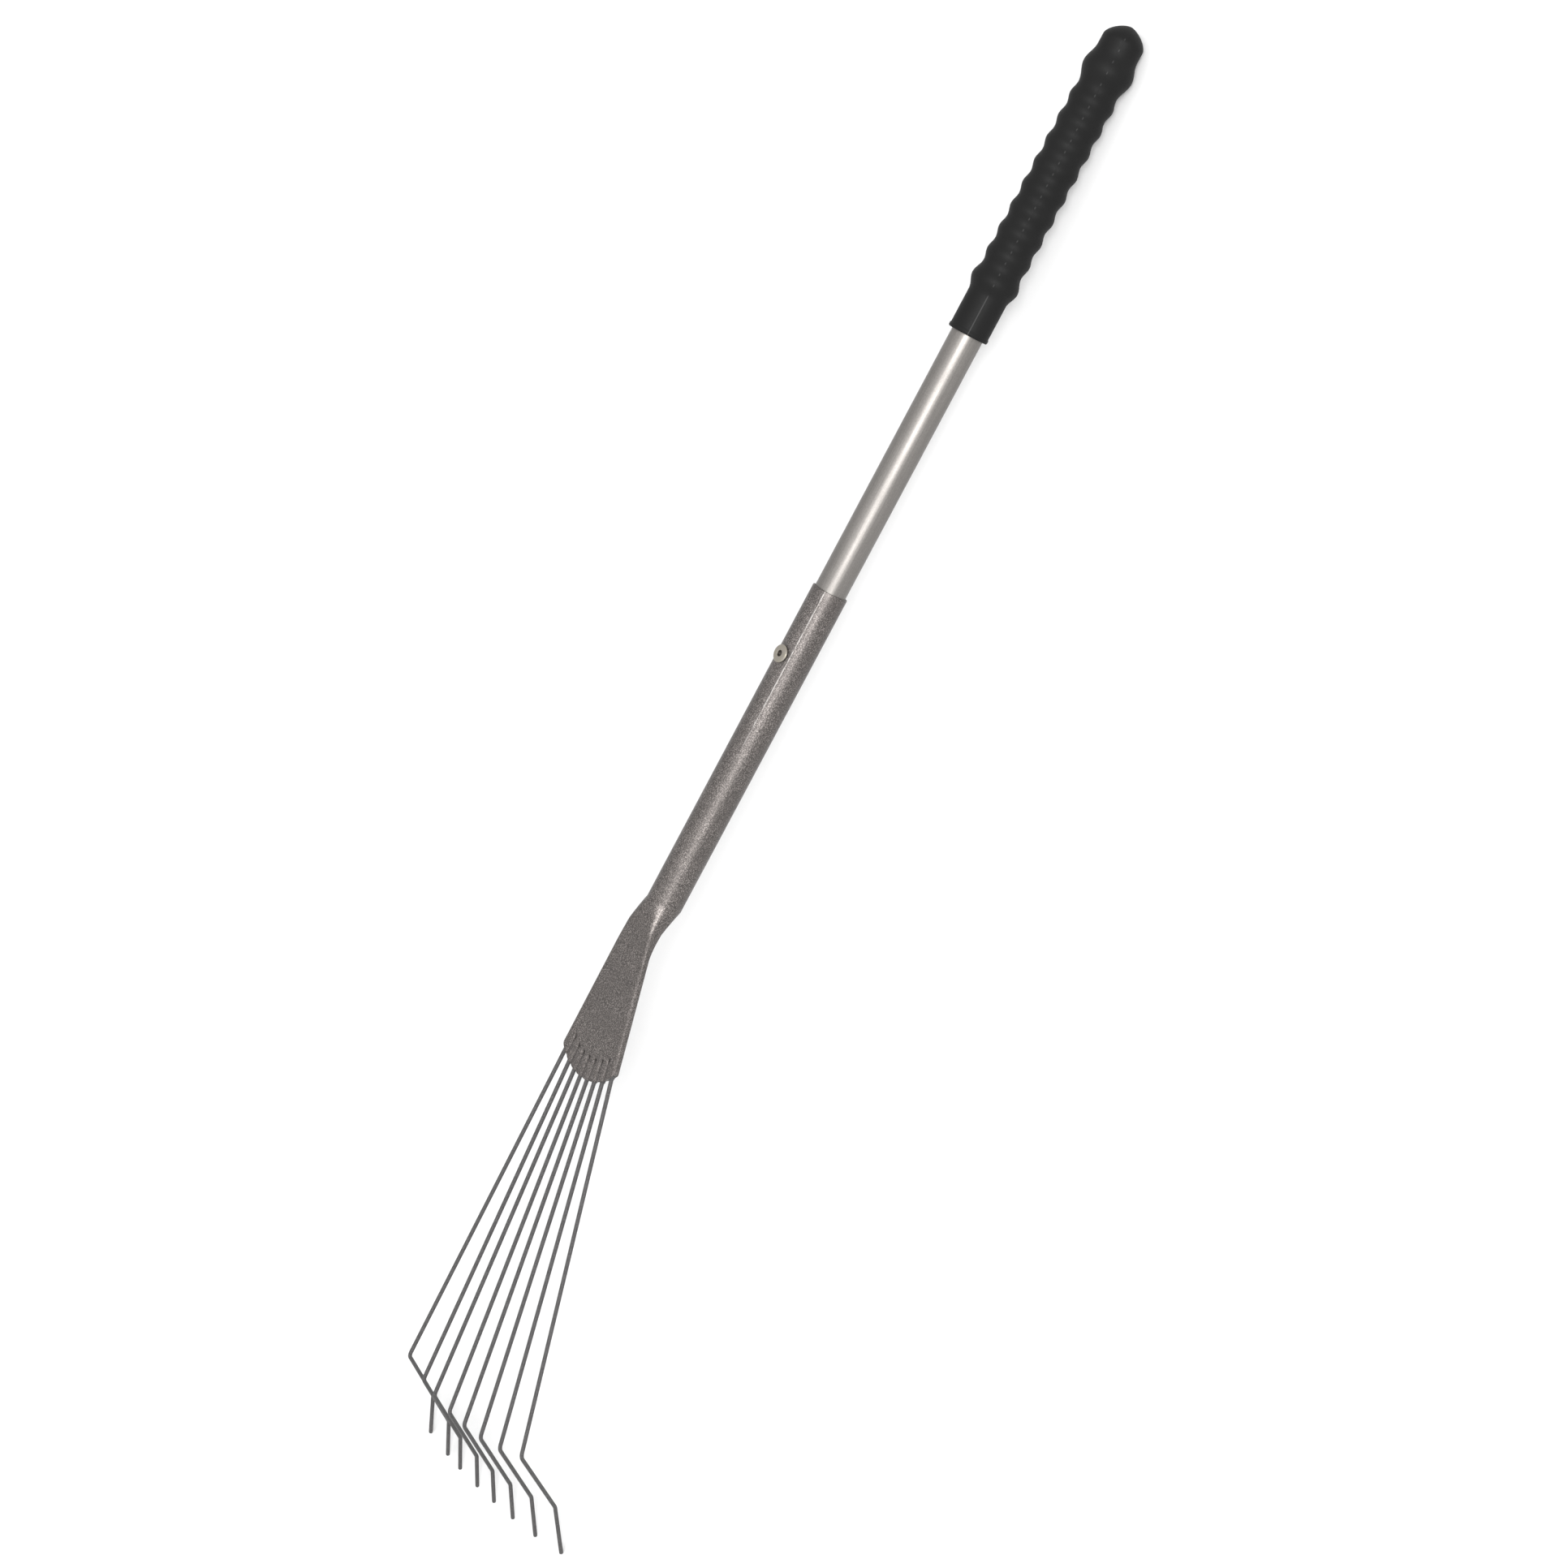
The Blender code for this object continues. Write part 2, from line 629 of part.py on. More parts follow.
def lay_on_ground(root, pieces):
    """Tip the rake until tines and grip both touch the ground, and centre its box on the origin."""
    points = world_points(pieces)
    front = points[points[:, 0] < 0]
    rear = points[points[:, 0] > CREASE_AT]
    tip = 0.0
    for _ in range(8):
        low_front = front[np.argmin(front[:, 2] * math.cos(tip) - front[:, 0] * math.sin(tip))]
        low_rear = rear[np.argmin(rear[:, 2] * math.cos(tip) - rear[:, 0] * math.sin(tip))]
        tip = math.atan2(low_rear[2] - low_front[2], low_rear[0] - low_front[0])
    root.rotation_euler = (0, tip, 0)
    points = world_points(pieces)
    low = points.min(axis=0)
    high = points.max(axis=0)
    root.location = (-(low[0] + high[0]) / 2, -(low[1] + high[1]) / 2, -low[2])
    bpy.context.view_layer.update()


# ---------------------------------------------------------------- the rake

def build():
    clear_scene()
    group = new_collection("leaf_rake")
    cutters = new_collection("cutters")
    silver = make_material("silver_steel", (0.60, 0.58, 0.55), 0.32, 0.9)
    grey = make_material("grey_metallic_paint", (0.23, 0.22, 0.20), 0.42, 0.6)
    wire = make_material("grey_painted_wire", (0.13, 0.13, 0.12), 0.45, 0.5)
    zinc = make_material("zinc_plated_steel", (0.56, 0.55, 0.47), 0.35, 0.95)
    black = make_material("black_pvc", (0.024, 0.024, 0.025), 0.5, 0.0)
    root = make_empty("rake", group)
    handle = handle_empty(group, root)
    rivet = rivet_empty(group, handle)
    fan = make_empty("tine_fan", group, root, rotation=(0, -TINE_DROOP, 0))
    pieces = [
        grip(group, handle, black),
        upper_tube(group, cutters, handle, rivet, silver),
        lower_tube(group, cutters, root, fan, handle, rivet, grey),
        rivet_body(group, rivet, zinc),
        rivet_mandrel(group, rivet, zinc),
    ]
    pieces += [tine(group, fan, number, wire) for number in range(TINE_COUNT)]
    lay_on_ground(root, pieces)


build()
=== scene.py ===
"""The looks of a leaf rake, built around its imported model.

Everything is in metres. The rake lies on the ground, with +X from the tines to the grip, +Y to the left as
seen by someone who holds the grip, and +Z up. Three frames place the pieces, and all of them follow from the
mount on the back of the head plate: the plate's own frame, the tines' frame, which tips down a little from
it, and the handle's frame, whose +Z runs up the handle and whose -X points out of the handle's back.
"""

import json
import math

import bmesh
import bpy
from bpy.props import FloatProperty, FloatVectorProperty, IntProperty, PointerProperty
from mathutils import Matrix, Vector


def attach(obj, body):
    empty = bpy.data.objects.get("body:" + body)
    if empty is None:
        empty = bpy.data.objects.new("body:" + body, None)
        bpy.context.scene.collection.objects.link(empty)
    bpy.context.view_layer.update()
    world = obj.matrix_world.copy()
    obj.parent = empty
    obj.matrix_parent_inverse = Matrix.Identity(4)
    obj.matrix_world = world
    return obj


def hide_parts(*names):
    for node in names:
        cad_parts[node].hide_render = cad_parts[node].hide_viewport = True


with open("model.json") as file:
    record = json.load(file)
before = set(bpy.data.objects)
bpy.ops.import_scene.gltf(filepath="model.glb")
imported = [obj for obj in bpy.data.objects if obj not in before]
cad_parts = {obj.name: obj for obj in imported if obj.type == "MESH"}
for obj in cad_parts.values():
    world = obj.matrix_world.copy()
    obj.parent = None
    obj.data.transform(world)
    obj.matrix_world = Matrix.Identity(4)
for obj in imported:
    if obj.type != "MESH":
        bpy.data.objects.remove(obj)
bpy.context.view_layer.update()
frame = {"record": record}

bl_info = {
    "name": "Leaf Rake",
    "version": (1, 0, 0),
    "blender": (4, 5, 0),
    "location": "View3D > Sidebar > Leaf Rake",
    "description": "Builds a leaf rake's grip, tubes, rivet and spring tines with their finishes",
    "category": "Mesh",
}

# Head plate, with distances back from its frame's origin near the middle of its round end
FLAT_LENGTH = 0.098          # to where the flare begins
CREASE_AT = 0.117            # to the crease between the plate's level back and the tube's sloping back
MOUNT_UP_PLATE = 0.058       # to the mount on the plate's back
WIDEST_AT = 0.014            # to where the plate has the width of its end
STRAIGHT_FROM = 0.052        # to where the rings across the plate no longer follow the round end
END_BACK = 0.0010            # to the foremost point of the end's arc
END_SHIFT = 0.0012           # the arc's middle, to the left
ROOT_BOW = 0.014             # bow of the line that the tines' lengths are measured from
PLATE_SKIN = 0.00125         # steel over and under a wire
SIDE_SKIN = 0.00135          # steel beside an outer wire

# Flare and tube
ROUND_FROM = 0.0165          # from the crease up the handle to the first round ring
FLARE_POWER = 1.6            # above 1 the flare opens late
EDGE_SHARPNESS = 2.0         # above 1 the plate's edges stay sharp for longer
FIT_GAP = 0.0003             # between pieces that are pushed or pressed together
SLIDE_GAP = 0.0001           # between the tubes, drawn as close as they look
SEAM_FADE = 0.05             # length over which the weld seam comes up

# Press marks between the wires
GROOVE_SHARPNESS = 2.5       # above 1 the grooves are narrower than the lands
TOOTH_AT = 0.0022            # from the start of the marks to their deepest place
TOOTH_HALF = 0.0018          # half the length of that deepest place
PRESS_FADE = 0.0012          # length over which the marks come in
PRESS_EDGE = 0.0004          # depth over which they fade on the plate's rounded edge
SHALLOW_PRESS = 0.55         # depth beyond the deepest place, as a share of it

# Tines
# Each tine's own lean from an even fan, then the wire's bends and its rings. The paint builds up where the
# wire leaves the plate, on the length inside it and then step by step, and wears off at the tip.
TINE_SET = [math.radians(a) for a in (-0.3, -0.7, 0.1, 0.1, 0.4, 0.5, 0.2, -0.3)]
BEND_RADIUS = 0.008
WIRE_SEAT_DEPTH = 0.003      # length of wire drawn inside the plate
PAINT_STEPS = (0.0, 0.0004, 0.0008, 0.0012, 0.0018, 0.0026, 0.004)
PAINT_BUILD_UP = (0.0006, 0.0006, 0.0003, 0.00015, 0.00006)
TIP_STEPS = (0.0012, 0.0003, 0.0001, 0.0)
TIP_WEAR = (0.0, 0.00005, 0.0002, 0.0004)

# Grip and rivet
GRIP_END_WALL = 0.008        # between the end of the bore and the tip
GRIP_DOME_POWER = 1.55       # 2 would be half an ellipse
HIGHLIGHT_SPOT_SHARPNESS = 6           # how small the painted highlight spots on the ribs are
HIGHLIGHT_GROUND = 0.1            # how bright the painted highlight is on the parting line between them
RIVET_BULGE_OD = 0.0092
RIVET_BULGE_LENGTH = 0.0034
MANDREL_HEAD_OD = 0.0056
MANDREL_HEAD_LENGTH = 0.0024
BREAK_ROUGHNESS = 0.0001     # how uneven the pin's break is

# Fineness of the meshes
HEAD_POINTS = 352
TUBE_POINTS = 160
GRIP_POINTS = 168
GRIP_RING_STEP = 0.0008
DOME_STEPS = 25
CRIMP_RING_STEP = 0.0005
CRIMP_MARGIN = 0.004
PLATE_RINGS = 12
FLARE_RINGS = 44
TUBE_RINGS = 40
TUBE_RINGS_FROM = 0.006
CLOSE_RINGS = (0.0006, 0.0014, 0.003)
BORE_RING_DEPTH = 0.02
RIVET_POINTS = 64
FLANGE_STEPS = 16
BULGE_STEPS = 8
PIN_HEAD_STEPS = 12
WIRE_POINTS = 20
BEND_STEPS = 12
ROUND_STEPS = 5

# Light and camera
KEY_PLACE = (1.1, -2.2, 3.0)
KEY_SIZE = (1.7, 1.5)
KEY_TARGET = (0.0, 0.0, 0.05)
BRIGHTEST_WAY = (0.0, -0.25, 0.97)
CAMERA_PLACE = (0.64327, -1.48301, 1.93915)
CAMERA_RIGHT = (0.39206, -0.65998, -0.64087)
CAMERA_UP = (0.88489, 0.46102, 0.06658)
SENSOR_WIDTH = 36.0


# ---------------------------------------------------------------- colours and small helpers

def linear(code):
    """An sRGB hex value as linear red, green, blue and a full alpha."""
    shades = [int(code[i:i + 2], 16) / 255 for i in (0, 2, 4)]
    return tuple(c / 12.92 if c <= 0.04045 else ((c + 0.055) / 1.055) ** 2.4 for c in shades) + (1.0,)


def tone(plain, share):
    """A plain colour made darker or lighter by a factor."""
    return tuple(min(c * share, 1.0) for c in plain[:3]) + (1.0,)


def smooth_step(t):
    """An even rise from 0 to 1 that starts and stops softly."""
    t = min(max(t, 0.0), 1.0)
    return t * t * (3 - 2 * t)


def blend(low, high, share):
    return low + (high - low) * share


def spread(low, high, count):
    """Evenly spaced numbers, with both ends among them."""
    return [blend(low, high, i / (count - 1)) for i in range(count)]


# ---------------------------------------------------------------- sizes and colours a user would change

def length(name, text, default):
    return FloatProperty(name=name, description=text, default=default, min=0.0, unit="LENGTH", precision=5)


def angle(name, text, degrees):
    return FloatProperty(name=name, description=text, default=math.radians(degrees), subtype="ANGLE")


def colour(name, text, code):
    return FloatVectorProperty(name=name, description=text, default=linear(code), size=4, min=0.0, max=1.0,
                               subtype="COLOR")


class RakeTubeSettings(bpy.types.PropertyGroup):
    """Sizes and colours of the handle's two tubes."""
    upper_width: length("Upper tube width", "Outer diameter of the silver tube", 0.022)
    wall: length("Tube wall", "Wall of both tubes", 0.0012)
    lower_length: length("Lower tube length", "From the crease of the head to the tube's open top", 0.252)
    overlap: length("Overlap", "How far the upper tube goes into the lower tube", 0.077)
    shown: length("Shown length", "Upper tube between the lower tube and the grip", 0.189)
    crank: angle("Crank", "Slope between the head plate and the handle", 10.65)
    edge: length("Edge rounding", "Rounding of the cut tube edges", 0.00035)
    seam_height: length("Weld seam height", "How far the lower tube's weld seam stands up", 0.00012)
    seam_width: length("Weld seam width", "Width of the lower tube's weld seam", 0.0007)
    seam_from: length("Weld seam start", "Where up the lower tube the weld seam begins to show", 0.115)
    seam_turn: angle("Weld seam place", "From the handle's back towards the right", 23.0)
    silver: colour("Silver", "Drawn steel tube under clear lacquer", "73706d")
    grey: colour("Grey", "Metallic powder coat of the lower tube", "54504e")
    flake: colour("Flake", "Bright flakes in the powder coat", "827c79")
    # The seam colour is a painted highlight along the weld seam's bead.
    seam: colour("Seam", "Paler coat along the weld seam", "8f8c8a")


class RakeGripSettings(bpy.types.PropertyGroup):
    """Sizes and colours of the moulded grip."""
    long: length("Length", "Whole grip from its open end to its tip", 0.220)
    wall: length("Wall", "Wall of the grip at its collar", 0.0022)
    rim_rise: length("Rim rise", "How far the rim stands out from the collar", 0.0005)
    rim_height: length("Rim height", "Height of the rim", 0.0032)
    valley_rise: length("Valley rise", "How far the valleys between ribs stand out from the collar", 0.0002)
    rib_rise: length("Rib rise", "How far the ribs stand out from the collar", 0.0018)
    ribs: IntProperty(name="Ribs", description="Number of ribs", default=8, min=1)
    neck_rise: length("Neck rise", "How far the end below the dome stands out from the collar", 0.0007)
    neck_length: length("Neck length", "Straight part between the upper bulge and the dome", 0.0074)
    lower_bulge_rise: length("Lower bulge rise", "How far the lower bulge stands out of the collar", 0.00305)
    lower_bulge_half: length("Lower bulge half length", "Half of the lower bulge's length", 0.0104)
    lower_bulge_at: length("Lower bulge place", "Middle of the lower bulge above the open end", 0.0372)
    upper_bulge_rise: length("Upper bulge rise", "How far the upper bulge stands out from the collar", 0.0035)
    upper_bulge_half: length("Upper bulge half length", "Half of the upper bulge's length", 0.0134)
    dome_height: length("Dome height", "Height of the closed domed end", 0.0110)
    flash_height: length("Parting line height", "How far the mould's parting line stands up", 0.00006)
    flash_width: length("Parting line width", "Width of the mould's parting line", 0.0009)
    flash_turn: angle("Parting line place", "From the handle's back towards the right", 38.0)
    black: colour("Black", "Moulded PVC", "121212")
    # The parting line's colour is a painted highlight, lighter than the black where the raised line catches
    # the light.
    line: colour("Parting line", "Rubbed edge of the parting line", "3a3a3a")


class RakeHeadSettings(bpy.types.PropertyGroup):
    """Sizes of the flattened head plate."""
    neck_width: length("Neck width", "Width of the plate where the flare begins", 0.0305)
    edge_radius: length("Edge radius", "Rounding of the plate's long edges", 0.0026)
    end_bow: length("End bow", "How far the plate's round end stands out", 0.0155)
    end_round: length("End rounding", "Rounding of the plate's cut end", 0.0007)
    crimp_length: length("Crimp length", "How far the press marks reach up from the round end", 0.0180)
    crimp_depth: length("Crimp depth", "How deep the plate is pressed in between the wires", 0.0011)


class RakeTineSettings(bpy.types.PropertyGroup):
    """Sizes and colours of the spring tines."""
    count: IntProperty(name="Tines", description="Number of tines", default=8, min=2)
    wire: length("Wire", "Diameter of the spring wire", 0.0029)
    root_spread: length("Root spread", "Between the outer tines at the plate's end", 0.0474)
    fan: angle("Fan", "Angle between the outer tines", 16.6)
    droop: angle("Droop", "How far the tines tip down from the plate", 1.25)
    straight: length("Straight", "From the plate to the hook's bend", 0.2756)
    hook: length("Hook", "Length of the steep part", 0.0648)
    hook_angle: angle("Hook angle", "Slope of the steep part", 45.5)
    toe: length("Toe", "Length of the middle tines' ends", 0.0313)
    toe_extra: length("Outer toe", "How much longer the outer tines' ends are", 0.0115)
    toe_angle: angle("Toe angle", "Slope of the tines' ends", 24.7)
    paint: colour("Paint", "Grey paint on the spring wire", "494848")


class RakeRivetSettings(bpy.types.PropertyGroup):
    """Sizes and colours of the blind rivet."""
    below_edge: length("Below the edge", "From the lower tube's top down to the rivet", 0.050)
    turn: angle("Turn", "From the handle's back towards the left", 10.0)
    sleeve: length("Sleeve", "Diameter of the rivet's sleeve", 0.0064)
    flange: length("Flange", "Diameter of the rivet's flange", 0.0124)
    rim: length("Rim", "Height of the flange's straight rim", 0.0008)
    height: length("Flange height", "Height of the flange's crown", 0.0016)
    lip: length("Lip", "Flat lip around the pin's hole", 0.0004)
    pin: length("Pin", "Diameter of the broken pin", 0.0038)
    recess: length("Recess", "How deep the broken pin lies", 0.0016)
    zinc: colour("Zinc", "Plain zinc plating", "8d8684")
    patch: colour("Passivated patch", "Yellow green tint of the passivated skin", "8e8a78")
    # The broken pin's colour is dark grey steel, darkened further as painted shade for the bottom of the
    # rivet's hole.
    broken: colour("Broken pin", "Rough grey steel where the pin has snapped", "4b4846")


class RakeStudioSettings(bpy.types.PropertyGroup):
    """Floor, lights and camera."""
    floor_side: length("Floor side", "Side of the square floor", 12.0)
    floor: colour("Floor", "Plain pale floor", "c6c6c6")
    sky: colour("Surrounding light", "Even light from all sides", "ffffff")
    side_strength: FloatProperty(name="Side strength", description="Soft light from the sides", default=1.12)
    top_strength: FloatProperty(name="Top strength", description="Soft light from above", default=2.0)
    key_power: FloatProperty(name="Key power", description="Large soft light", default=168.0, unit="POWER")
    lens: FloatProperty(name="Lens", description="Focal length in millimetres", default=85.71)


# ---------------------------------------------------------------- frames

def plate_thickness(tines):
    return tines.wire + 2 * (FIT_GAP + PLATE_SKIN)


def lower_width(tubes):
    return tubes.upper_width + 2 * (FIT_GAP + tubes.wall)


def plate_frame(tines):
    """The plate's frame, from the mount on its back: +X up the rake and +Z out of the back."""
    mount = next(m for m in frame["record"]["mounts"] if m["name"] == "plate_back")
    back = Vector(mount["axis"]).normalized()
    left = Vector((0, 1, 0))
    along = left.cross(back)
    matrix = Matrix((along, left, back)).transposed().to_4x4()
    matrix.translation = Vector(mount["pos_m"]) - along * MOUNT_UP_PLATE - back * plate_thickness(tines) / 2
    return matrix


def handle_frame(tubes, tines):
    """The handle's axis: its back line meets the plate's level back at the crease."""
    drop = plate_thickness(tines) / 2 - lower_width(tubes) / 2 / math.cos(tubes.crank)
    lean = Matrix.Rotation(math.pi / 2 + tubes.crank, 4, "Y")
    return plate_frame(tines) @ Matrix.Translation((CREASE_AT, 0, drop)) @ lean


def fan_frame(tines):
    return plate_frame(tines) @ Matrix.Rotation(-tines.droop, 4, "Y")


def rivet_frame(tubes, tines, rivet):
    """The rivet's axis, with +Z out of the tubes."""
    outward = Vector((-math.cos(rivet.turn), math.sin(rivet.turn), 0))
    along = Vector((0, 0, 1))
    turn = Matrix((along, outward.cross(along), outward)).transposed().to_4x4()
    height = tubes.lower_length - rivet.below_edge
    return handle_frame(tubes, tines) @ Matrix.Translation((0, 0, height)) @ turn


def bow_radius(half, bow):
    """The radius of an arc from its half width and how far its middle stands out."""
    return (half * half + bow * bow) / (2 * bow)


def plate_half_end(tines):
    """Half the plate's width where it is widest."""
    return tines.root_spread / 2 + tines.wire / 2 + FIT_GAP + SIDE_SKIN


def end_line(head, tines, across):
    """How far back the plate's round end lies at a distance across it. Its arc sits a little to the left."""
    radius = bow_radius(plate_half_end(tines), head.end_bow)
    return END_BACK + radius - math.sqrt(radius ** 2 - (across - END_SHIFT) ** 2)


# ---------------------------------------------------------------- mesh helpers

def skin(rings, close_start=False, close_end=False, loop=False):
    """A mesh of quads over rings of equal length, with fans of triangles over its ends if they are closed."""
    bm = bmesh.new()
    rows = [[bm.verts.new(point) for point in ring] for ring in rings]
    pairs = list(zip(rows, rows[1:]))
    if loop:
        pairs.append((rows[-1], rows[0]))
    for low, high in pairs:
        for i in range(len(low)):
            j = (i + 1) % len(low)
            bm.faces.new((low[i], low[j], high[j], high[i]))
    for row, wanted in ((rows[0], close_start), (rows[-1], close_end)):
        if wanted:
            middle = bm.verts.new(sum((v.co for v in row), Vector()) / len(row))
            for i in range(len(row)):
                bm.faces.new((row[i], row[(i + 1) % len(row)], middle))
    bmesh.ops.recalc_face_normals(bm, faces=bm.faces)
    return bm


def circle(radius, height, points):
    """A level ring around the Z axis, from -X towards -Y."""
    turns = [2 * math.pi * i / points for i in range(points)]
    return [Vector((-radius * math.cos(t), -radius * math.sin(t), height)) for t in turns]


def turned(profile, points, loop):
    """A turned body from (radius, height) points. A profile that isn't a loop is closed at both ends."""
    rings = [circle(radius, height, points) for radius, height in profile]
    return skin(rings, not loop, not loop, loop)


def add_piece(name, bm, place, material, node, sharp=math.radians(50.0)):
    """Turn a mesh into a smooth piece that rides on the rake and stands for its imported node."""
    mesh = bpy.data.meshes.new(name)
    bm.to_mesh(mesh)
    bm.free()
    mesh.transform(place)
    mesh.materials.append(material)
    mesh.shade_smooth()
    mesh.set_sharp_from_angle(angle=sharp)
    piece = bpy.data.objects.new(name, mesh)
    bpy.context.scene.collection.objects.link(piece)
    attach(piece, "root")
    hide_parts(node)
    return piece


def mark_points(piece, name, shares):
    """Store a share for each of a mesh's points, in order, with 0 for the points that the list leaves out."""
    marks = piece.data.attributes.new(name, "FLOAT", "POINT")
    rest = len(piece.data.vertices) - len(shares)
    marks.data.foreach_set("value", shares + [0.0] * rest)


def drill(piece, place, radius, depth):
    """Drill a round hole outwards along a frame's +Z."""
    bm = turned([(radius, 0.0), (radius, depth)], RIVET_POINTS, False)
    mesh = bpy.data.meshes.new("drill")
    bm.to_mesh(mesh)
    bm.free()
    tool = bpy.data.objects.new("drill", mesh)
    bpy.context.scene.collection.objects.link(tool)
    tool.matrix_world = place
    cut = piece.modifiers.new("Rivet hole", "BOOLEAN")
    cut.operation = "DIFFERENCE"
    cut.solver = "EXACT"
    cut.object = tool
    bpy.context.view_layer.update()
    finished = piece.evaluated_get(bpy.context.evaluated_depsgraph_get())
    drilled = bpy.data.meshes.new_from_object(finished)
    piece.modifiers.clear()
    piece.data = drilled
    bpy.data.objects.remove(tool)


# ---------------------------------------------------------------- finishes

def add_node(tree, kind, settings=None, inputs=None, links=None):
    """Add a node, with its settings, the values of its inputs, and what is linked into them."""
    node = tree.nodes.new(kind)
    for key, value in (settings or {}).items():
        setattr(node, key, value)
    for key, value in (inputs or {}).items():
        node.inputs[key].default_value = value
    for key, source in (links or {}).items():
        tree.links.new(source, node.inputs[key])
    return node


def new_finish(name):
    """An empty node material with its output, its shader and the piece's own coordinates in metres."""
    material = bpy.data.materials.new(name)
    material.use_nodes = True
    tree = material.node_tree
    tree.nodes.clear()
    shader = add_node(tree, "ShaderNodeBsdfPrincipled")
    add_node(tree, "ShaderNodeOutputMaterial", links={"Surface": shader.outputs["BSDF"]})
    place = add_node(tree, "ShaderNodeTexCoord").outputs["Object"]
    return material, tree, shader, place


def per_millimetre(size):
    """A texture scale whose features are this many millimetres across."""
    return 1000.0 / size


def noise(tree, place, size, detail):
    """A soft random pattern from 0 to 1, whose features are this many millimetres across."""
    return add_node(tree, "ShaderNodeTexNoise", inputs={"Scale": per_millimetre(size), "Detail": detail},
                    links={"Vector": place}).outputs["Fac"]


def ranged(tree, value, low, high, least, most):
    """Turn the values from low to high into values from least to most."""
    return add_node(tree, "ShaderNodeMapRange",
                    inputs={"From Min": low, "From Max": high, "To Min": least, "To Max": most},
                    links={"Value": value}).outputs["Result"]


def marked(tree, name):
    """The share that mark_points has stored in the mesh."""
    return add_node(tree, "ShaderNodeAttribute", {"attribute_name": name}).outputs["Fac"]


def two_tone(tree, first, second, share):
    """A pattern between two plain colours."""
    return add_node(tree, "ShaderNodeMix", {"data_type": "RGBA"}, {"A": first, "B": second},
                    {"Factor": share}).outputs["Result"]


def layered(tree, under, over, share):
    """A plain colour that lies over a pattern, as far as a share says."""
    return add_node(tree, "ShaderNodeMix", {"data_type": "RGBA"}, {"B": over},
                    {"Factor": share, "A": under}).outputs["Result"]


def relief(tree, shader, height, strength, depth):
    """A fine relief on the surface, from a pattern of heights and its depth in metres."""
    bump = add_node(tree, "ShaderNodeBump", inputs={"Strength": strength, "Distance": depth},
                    links={"Height": height})
    tree.links.new(bump.outputs["Normal"], shader.inputs["Normal"])


def moulded_pvc(grip):
    """Black PVC moulded in a steel mould: a satin skin, faint flow mottling and a very fine even grain."""
    material, tree, shader, place = new_finish("moulded_black_pvc")
    flow = noise(tree, place, 14.0, 3.0)
    grain = noise(tree, place, 0.9, 4.0)
    tint = two_tone(tree, grip.black, tone(grip.black, 1.35), flow)
    # Painted highlight: a lighter colour along the parting line on the collar and in two spots on each rib,
    # where its raised edge catches the light.
    painted_highlight = ranged(tree, marked(tree, "parting_line_highlight"), 0.3, 1.0, 0.0, 0.8)
    tint = layered(tree, tint, grip.line, painted_highlight)
    shader.inputs["IOR"].default_value = 1.53
    shader.inputs["Specular IOR Level"].default_value = 0.08
    tree.links.new(tint, shader.inputs["Base Color"])
    tree.links.new(ranged(tree, grain, 0.3, 0.7, 0.48, 0.60), shader.inputs["Roughness"])
    relief(tree, shader, grain, 0.25, 0.00008)
    return material


def lacquered_drawn_steel(tubes, handle):
    """Steel tube drawn through a die and lacquered: long fine draw lines, a satin metal glow, faint clouding.

    The real draw lines are about 0.1 mm wide. They are drawn 0.8 mm wide, so that they still show.
    """
    material, tree, shader, place = new_finish("lacquered_drawn_steel")
    along = add_node(tree, "ShaderNodeMapping", inputs={"Rotation": handle.inverted().to_euler()},
                     links={"Vector": place})
    stretch = add_node(tree, "ShaderNodeMapping", inputs={"Scale": (1.0, 1.0, 0.02)},
                       links={"Vector": along.outputs["Vector"]})
    lines = noise(tree, stretch.outputs["Vector"], 0.8, 3.0)
    specks = noise(tree, place, 0.9, 2.0)
    cloud = noise(tree, place, 25.0, 2.0)
    both = add_node(tree, "ShaderNodeMath", {"operation": "ADD"},
                    links={0: lines, 1: specks}).outputs["Value"]
    shade = ranged(tree, both, 0.7, 1.3, 0.0, 1.0)
    tint = two_tone(tree, tone(tubes.silver, 0.86), tone(tubes.silver, 1.14), shade)
    shader.inputs["Metallic"].default_value = 0.9
    tree.links.new(tint, shader.inputs["Base Color"])
    tree.links.new(ranged(tree, cloud, 0.3, 0.7, 0.41, 0.47), shader.inputs["Roughness"])
    relief(tree, shader, lines, 0.15, 0.00003)
    return material


def flake_colours(tree, flakes, base, flake):
    """The coat's colour with darker specks in it and bright flakes."""
    specks = add_node(tree, "ShaderNodeValToRGB", links={"Fac": flakes})
    ramp = specks.color_ramp
    ramp.elements[0].position = 0.36
    ramp.elements[0].color = tone(base, 0.62)
    ramp.elements[1].position = 0.66
    ramp.elements[1].color = flake
    middle = ramp.elements.new(0.5)
    middle.color = base
    return specks.outputs["Color"]


